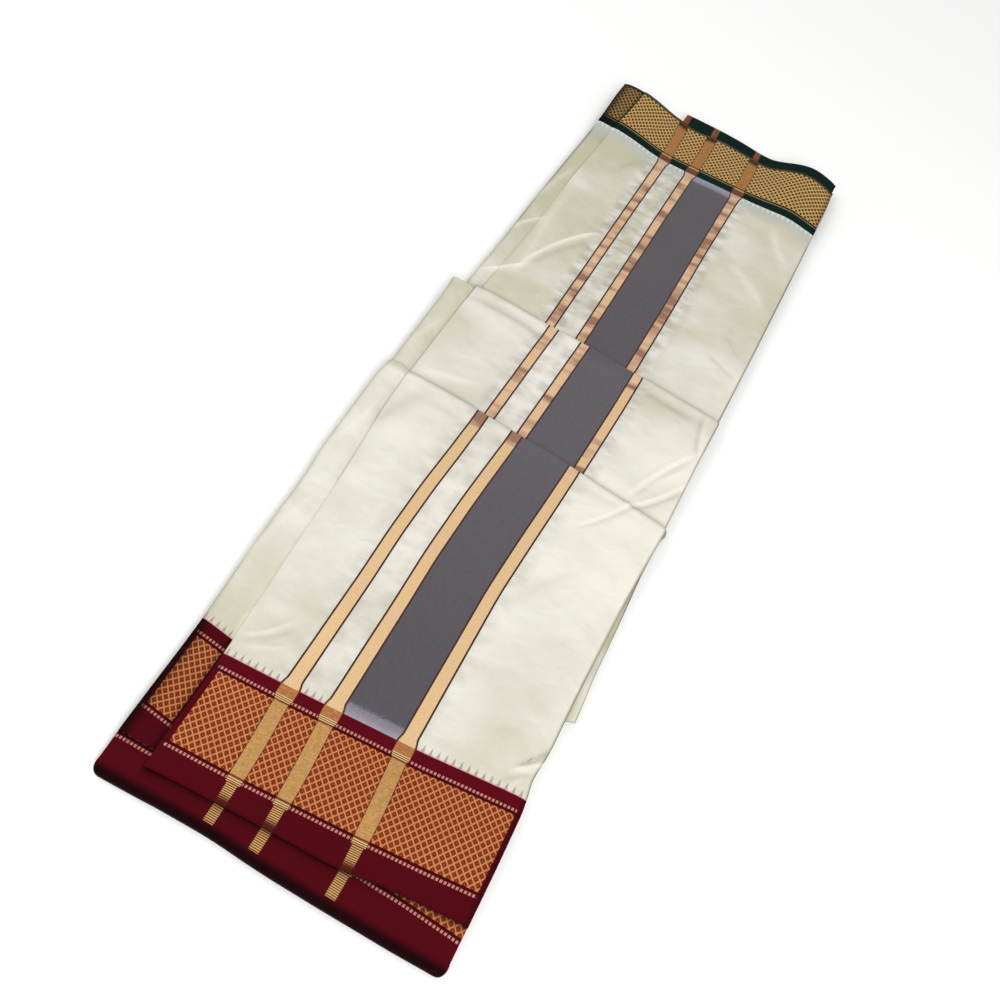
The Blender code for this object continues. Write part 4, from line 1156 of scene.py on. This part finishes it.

# Grey band: the same cloth woven with a slate-purple weft, matt and finely mottled. It is paler and
# bluer where it meets the borders. Its brightness along the cloth is painted light and shade, and its
# crests and creases get a painted highlight.
grey_cloth, add = new_material("slate_grey_woven_band")
place = add("Attribute", {}, 1, attribute_name="cloth")
split = add("SeparateXYZ", {0: place})
edge = add("Math", {0: split.node.outputs[1], 1: split.node.outputs[2]}, operation="MINIMUM")
fleck = add("TexNoise", {"Vector": place, "Scale": 0.9, "Detail": 3.0})
fleck = add("Math", {0: fleck, 1: 7.0, 2: -3.5}, operation="MULTIPLY_ADD")
edge = add("Math", {0: edge, 1: fleck}, operation="ADD")
edge = add("MapRange", {"Value": edge, "From Min": 0.0, "From Max": 20.0})
colour = add("ValToRGB", {"Fac": edge}, stops=(
    (0.0, "#96919a"), (0.2, "#827d87"), (0.42, "#75707a"), (0.5, "#534d55"), (0.62, "#4b464c"),
))
blue_end = add("MapRange", {
    "Value": split.node.outputs[2], "From Min": 0.0, "From Max": 9.5, "To Min": 0.75, "To Max": 0.0})
pressed = add("Attribute", {}, 2, attribute_name="pressed")
ridge = add("MapRange", {"Value": pressed, "From Min": 0.2, "From Max": 1.0, "To Max": 0.5})
for share, over in ((blue_end, "#7d8c98"), (ridge, "#8c868e")):
    colour = add("Mix", {"Factor": share, "A": colour, "B": over}, data_type="RGBA")
mottle = add("Mapping", {"Vector": place, "Scale": (0.4, 0.12, 0.0)})
mottle = add("TexNoise", {"Vector": mottle, "Scale": 1.0, "Detail": 4.0, "Roughness": 0.7})
shade = add("MapRange", {"Value": mottle, "From Min": 0.3, "From Max": 0.7, "To Min": 0.9, "To Max": 1.08})
tone = add("Attribute", {}, 2, attribute_name="tone")
for factor in (shade, tone):
    colour = add("Mix", {"Factor": 1.0, "A": colour, "B": factor}, data_type="RGBA", blend_type="MULTIPLY")
band = add("Attribute", {}, 2, attribute_name="band")
colour = line_band(add, band, colour)
weave = plain_weave(add, place)
bump = add("Bump", {"Height": weave, "Strength": 0.2, "Distance": 0.0001})
shader = add("BsdfPrincipled", {
    "Base Color": colour, "Roughness": 0.6, "Specular IOR Level": 0.35, "Sheen Weight": 0.2, "Normal": bump,
})
add("OutputMaterial", {"Surface": shader})


def flap_facts(points, edges, into_cream, from_green, tone):
    """Where each point of the flap lies in the cloth: from the second gold band, and from both borders."""
    across = points[..., 0]
    middle = 0.5 * (edges[:, 3] + edges[:, 4])
    return {
        "cloth": np.stack([across - middle[:, None], into_cream, from_green], axis=-1),
        "band": band_distance(across, edges[:, None, :], np.minimum(into_cream, from_green)),
        "inset": np.minimum(across - edges[:, :1], 0.3 * (edges[:, -1:] - across) + 1.6),
        "tone": tone,
        "pressed": pressing(across, points[..., 1]),
    }


FOLDED_UNDER = 10.0  # width of cloth that fold_under adds at the side
FINISH_OF = {
    "cream": (cream_cloth, "cream_cloth"),
    "gold": (gold_cloth, "gold_zari"),
    "grey": (grey_cloth, "grey_band"),
}
# Tones along the cloth (distance from the maroon border, tone), which carry painted light and shade. The
# cream's tone makes it paler, its lowest values painted shade; the gold's makes it rosier and darker, in
# patches of painted sheen and shade; and the grey's multiplies its colour as painted light and shade.
CREAM_TONES = (
    (0, 0.05), (50, 0.25), (80, 0.1), (110, 0.5), (170, 0.65), (262, 0.6), (480, 0.3), (575, 0.25),
    (595, 0.7), (812, 0.2), (857, 0.1), (892, -0.2), (960, -0.35), (1000, -0.25), (1032, 0.2), (1062, 0.0),
    (1090, -0.7),
)
RIGHT_TONES = (
    (0, 0.3), (100, 0.4), (150, 0.7), (230, 0.95), (264, 0.65), (480, 0.85), (525, 0.8), (548, 0.6),
    (570, 0.2), (600, 0.1), (810, 0.15), (857, 0.45), (900, 0.15), (962, -0.2), (1000, -0.15), (1032, 0.25),
    (1065, 0.0), (1090, -0.3),
)
GOLD_TONES = (
    (0, 0.05), (250, 0.1), (262, 0.15), (269, 0.4), (276, 0.8), (480, 0.65), (484, 0.45), (500, 0.36),
    (575, 0.36), (598, 0.52), (806, 0.54), (1100, 0.5),
)
GREY_TONES = (
    (0, 0.98), (60, 1.0), (110, 1.07), (170, 1.14), (230, 1.22), (277, 1.32), (480, 1.24), (594, 1.28),
    (610, 1.04), (1100, 1.02),
)
TONES_OF = {
    "cream_left": CREAM_TONES, "cream_between": CREAM_TONES, "cream_right": RIGHT_TONES,
    "grey_band": GREY_TONES,
}
flap_path = panel_path(MAROON_LINE, CREST_1, CREST_2, GREEN_LINE)
for number, strip in enumerate(STRIPS):
    columns_at = strip_columns(number, number + 1, STRIP_COLUMNS[number])
    points, edges, turns = lay(flap_path, flap_edges, columns_at, flap_face, flap_pinch)
    width = float(np.mean(edges[:, number + 1] - edges[:, number]))
    if strip == "cream_right":
        points = fold_under(points, turns, 1)
        width = width + FOLDED_UNDER
    run = run_along(points)
    tone = reading(TONES_OF.get(strip, GOLD_TONES), run, 4.0)
    # Painted light and shade on the cream: the middle strip lighter and darker in stretches, the left one
    # shaded at its free end, and a dark painted shade line where the right one rolls under.
    if strip == "cream_between":
        tone = tone + 0.5 * ease(run, 480.0, 490.0) - 0.5 * ease(run, 580.0, 620.0)
        tone = tone - 0.4 * ease(run, 890.0, 940.0)
    if strip == "cream_left":
        tone = tone - 0.15 * (1.0 - ease(points[..., 0] - edges[:, :1], 0.2, 1.5))
    if strip == "cream_right":
        tone = tone - 2.6 * ease(points[..., 0] - edges[:, -1:], -1.1, 0.4)
    facts = flap_facts(points, edges, run, run[-1:] - run, tone)
    material, slot = FINISH_OF[strip.split("_")[0]]
    piece = add_sheet("flap_" + strip, points, facts, material)
    flat = (max(0.010, round(width * MM, 3)), 1.09)
    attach(piece, "root")
    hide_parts(*["%s_%s" % (panel, strip) for panel in ("near", "middle", "far")])


def all_columns(edges):
    """Every strip's columns, side by side, sharing the columns where strips meet."""
    strips = [
        strip_columns(number, number + 1, count)(edges) for number, count in enumerate(STRIP_COLUMNS)
    ]
    return np.concatenate([strips[0]] + [strip[:, 1:] for strip in strips[1:]], axis=1)


# The flap's borders, one at each end of its panels: shaded at the right fold, and the maroon one also at
# its selvedge, with a brighter line beside the teeth. Its lattice and beads stop 3.5 mm short of the fold.
near_border_path = [level_rows(NEAR_SELVEDGE, MAROON_LINE)]
for node, slot, material, width, path in (
    ("flap_maroon_border", "maroon_border", maroon_cloth, 0.237, near_border_path),
    ("flap_green_border", "green_border", green_cloth, 0.240, far_border_path),
):
    points, edges, turns = lay(path, flap_edges, all_columns, flap_face)
    points = fold_under(points, turns, 1)
    run = run_along(points)
    from_side = points[..., 0] - edges[:, :1]
    from_fold = edges[:, -1:] - points[..., 0]
    tone = 0.5 + 0.5 * ease(from_fold, -0.5, 6.0)
    if material == maroon_cloth:
        into_cream = run - run[-1:]
        tone = tone * (0.6 + 0.4 * ease(run, 0.0, 2.6)) * (1.0 + 0.3 * ease(into_cream, -8.6, -7.8))
        facts = flap_facts(points, edges, into_cream, run + 10.0, tone)
        facts["inset"] = np.minimum(from_side, 5.0 * from_fold - 13.9)
    else:
        facts = flap_facts(points, edges, to_selvedge(run), -run, tone)
    piece = add_sheet(node + "_cloth", points, facts, material)
    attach(piece, "root")
    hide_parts(node)


# ---- the floor ----
# A sweep of matt white painted board, which takes soft shadows and gives no shine. It is wider than any
# view of the bundle, and lies just below the cloth, so that the two never share a face.

FLOOR_REACH = 2500.0
FLOOR_GAP = 0.2
floor_paint, add = new_material("matt_white_paint")
shader = add("BsdfPrincipled", {"Base Color": "#fdfdfc", "Roughness": 0.9, "Specular IOR Level": 0.1})
add("OutputMaterial", {"Surface": shader})
corners = FLOOR_REACH * np.array([[-1.0, -1.0, 0.0], [1.0, -1.0, 0.0], [1.0, 1.0, 0.0], [-1.0, 1.0, 0.0]])
corners[:, 2] = -FLOOR_GAP
floor = add_piece("floor", corners + BUNDLE_MIDDLE, [(0, 1, 2, 3)], {}, floor_paint)


# ---- light and camera ----
# An even white sky, a wide lamp beyond the maroon end and a weaker one on the left. The camera looks
# down on the bundle from beyond its maroon end, and is rolled, so that the cloth lies on a slant.

SKY = 0.63
world = bpy.data.worlds.new("studio")
world.use_nodes = True
world.node_tree.nodes["Background"].inputs["Color"].default_value = (1.0, 1.0, 1.0, 1.0)
world.node_tree.nodes["Background"].inputs["Strength"].default_value = SKY
bpy.context.scene.world = world
# Each lamp's place and size are in metres, its power in watts, and it points at the bundle's middle.
for name, place, size, power in (
    ("near_light", (0.9, -1.8, 1.6), 1.3, 42.0),
    ("left_light", (-1.6, 0.4, 1.7), 1.5, 12.0),
):
    light = bpy.data.lights.new(name, "AREA")
    light.size = size
    light.energy = power
    lamp = bpy.data.objects.new(name, light)
    lamp.location = place
    lamp.rotation_euler = (-Vector(place)).to_track_quat("-Z", "Y").to_euler()
    bpy.context.scene.collection.objects.link(lamp)

bpy.context.scene.view_settings.view_transform = "Standard"
CAMERA_PLACE = (0.0959, -0.6130, 0.7167)  # metres
AZIMUTH = 10.1747  # degrees, like the next two
ELEVATION = 54.5910
ROLL = 19.8516
lens = bpy.data.cameras.new("camera")
lens.lens = 39.84
lens.sensor_width = 36.0
camera = bpy.data.objects.new("camera", lens)
turned_round = Matrix.Rotation(np.radians(AZIMUTH), 4, "Z")
tilted_down = Matrix.Rotation(np.radians(90.0 - ELEVATION), 4, "X")
rolled_over = Matrix.Rotation(np.radians(ROLL), 4, "Z")
camera.matrix_world = Matrix.Translation(CAMERA_PLACE) @ turned_round @ tilted_down @ rolled_over
bpy.context.scene.collection.objects.link(camera)
bpy.context.scene.camera = camera
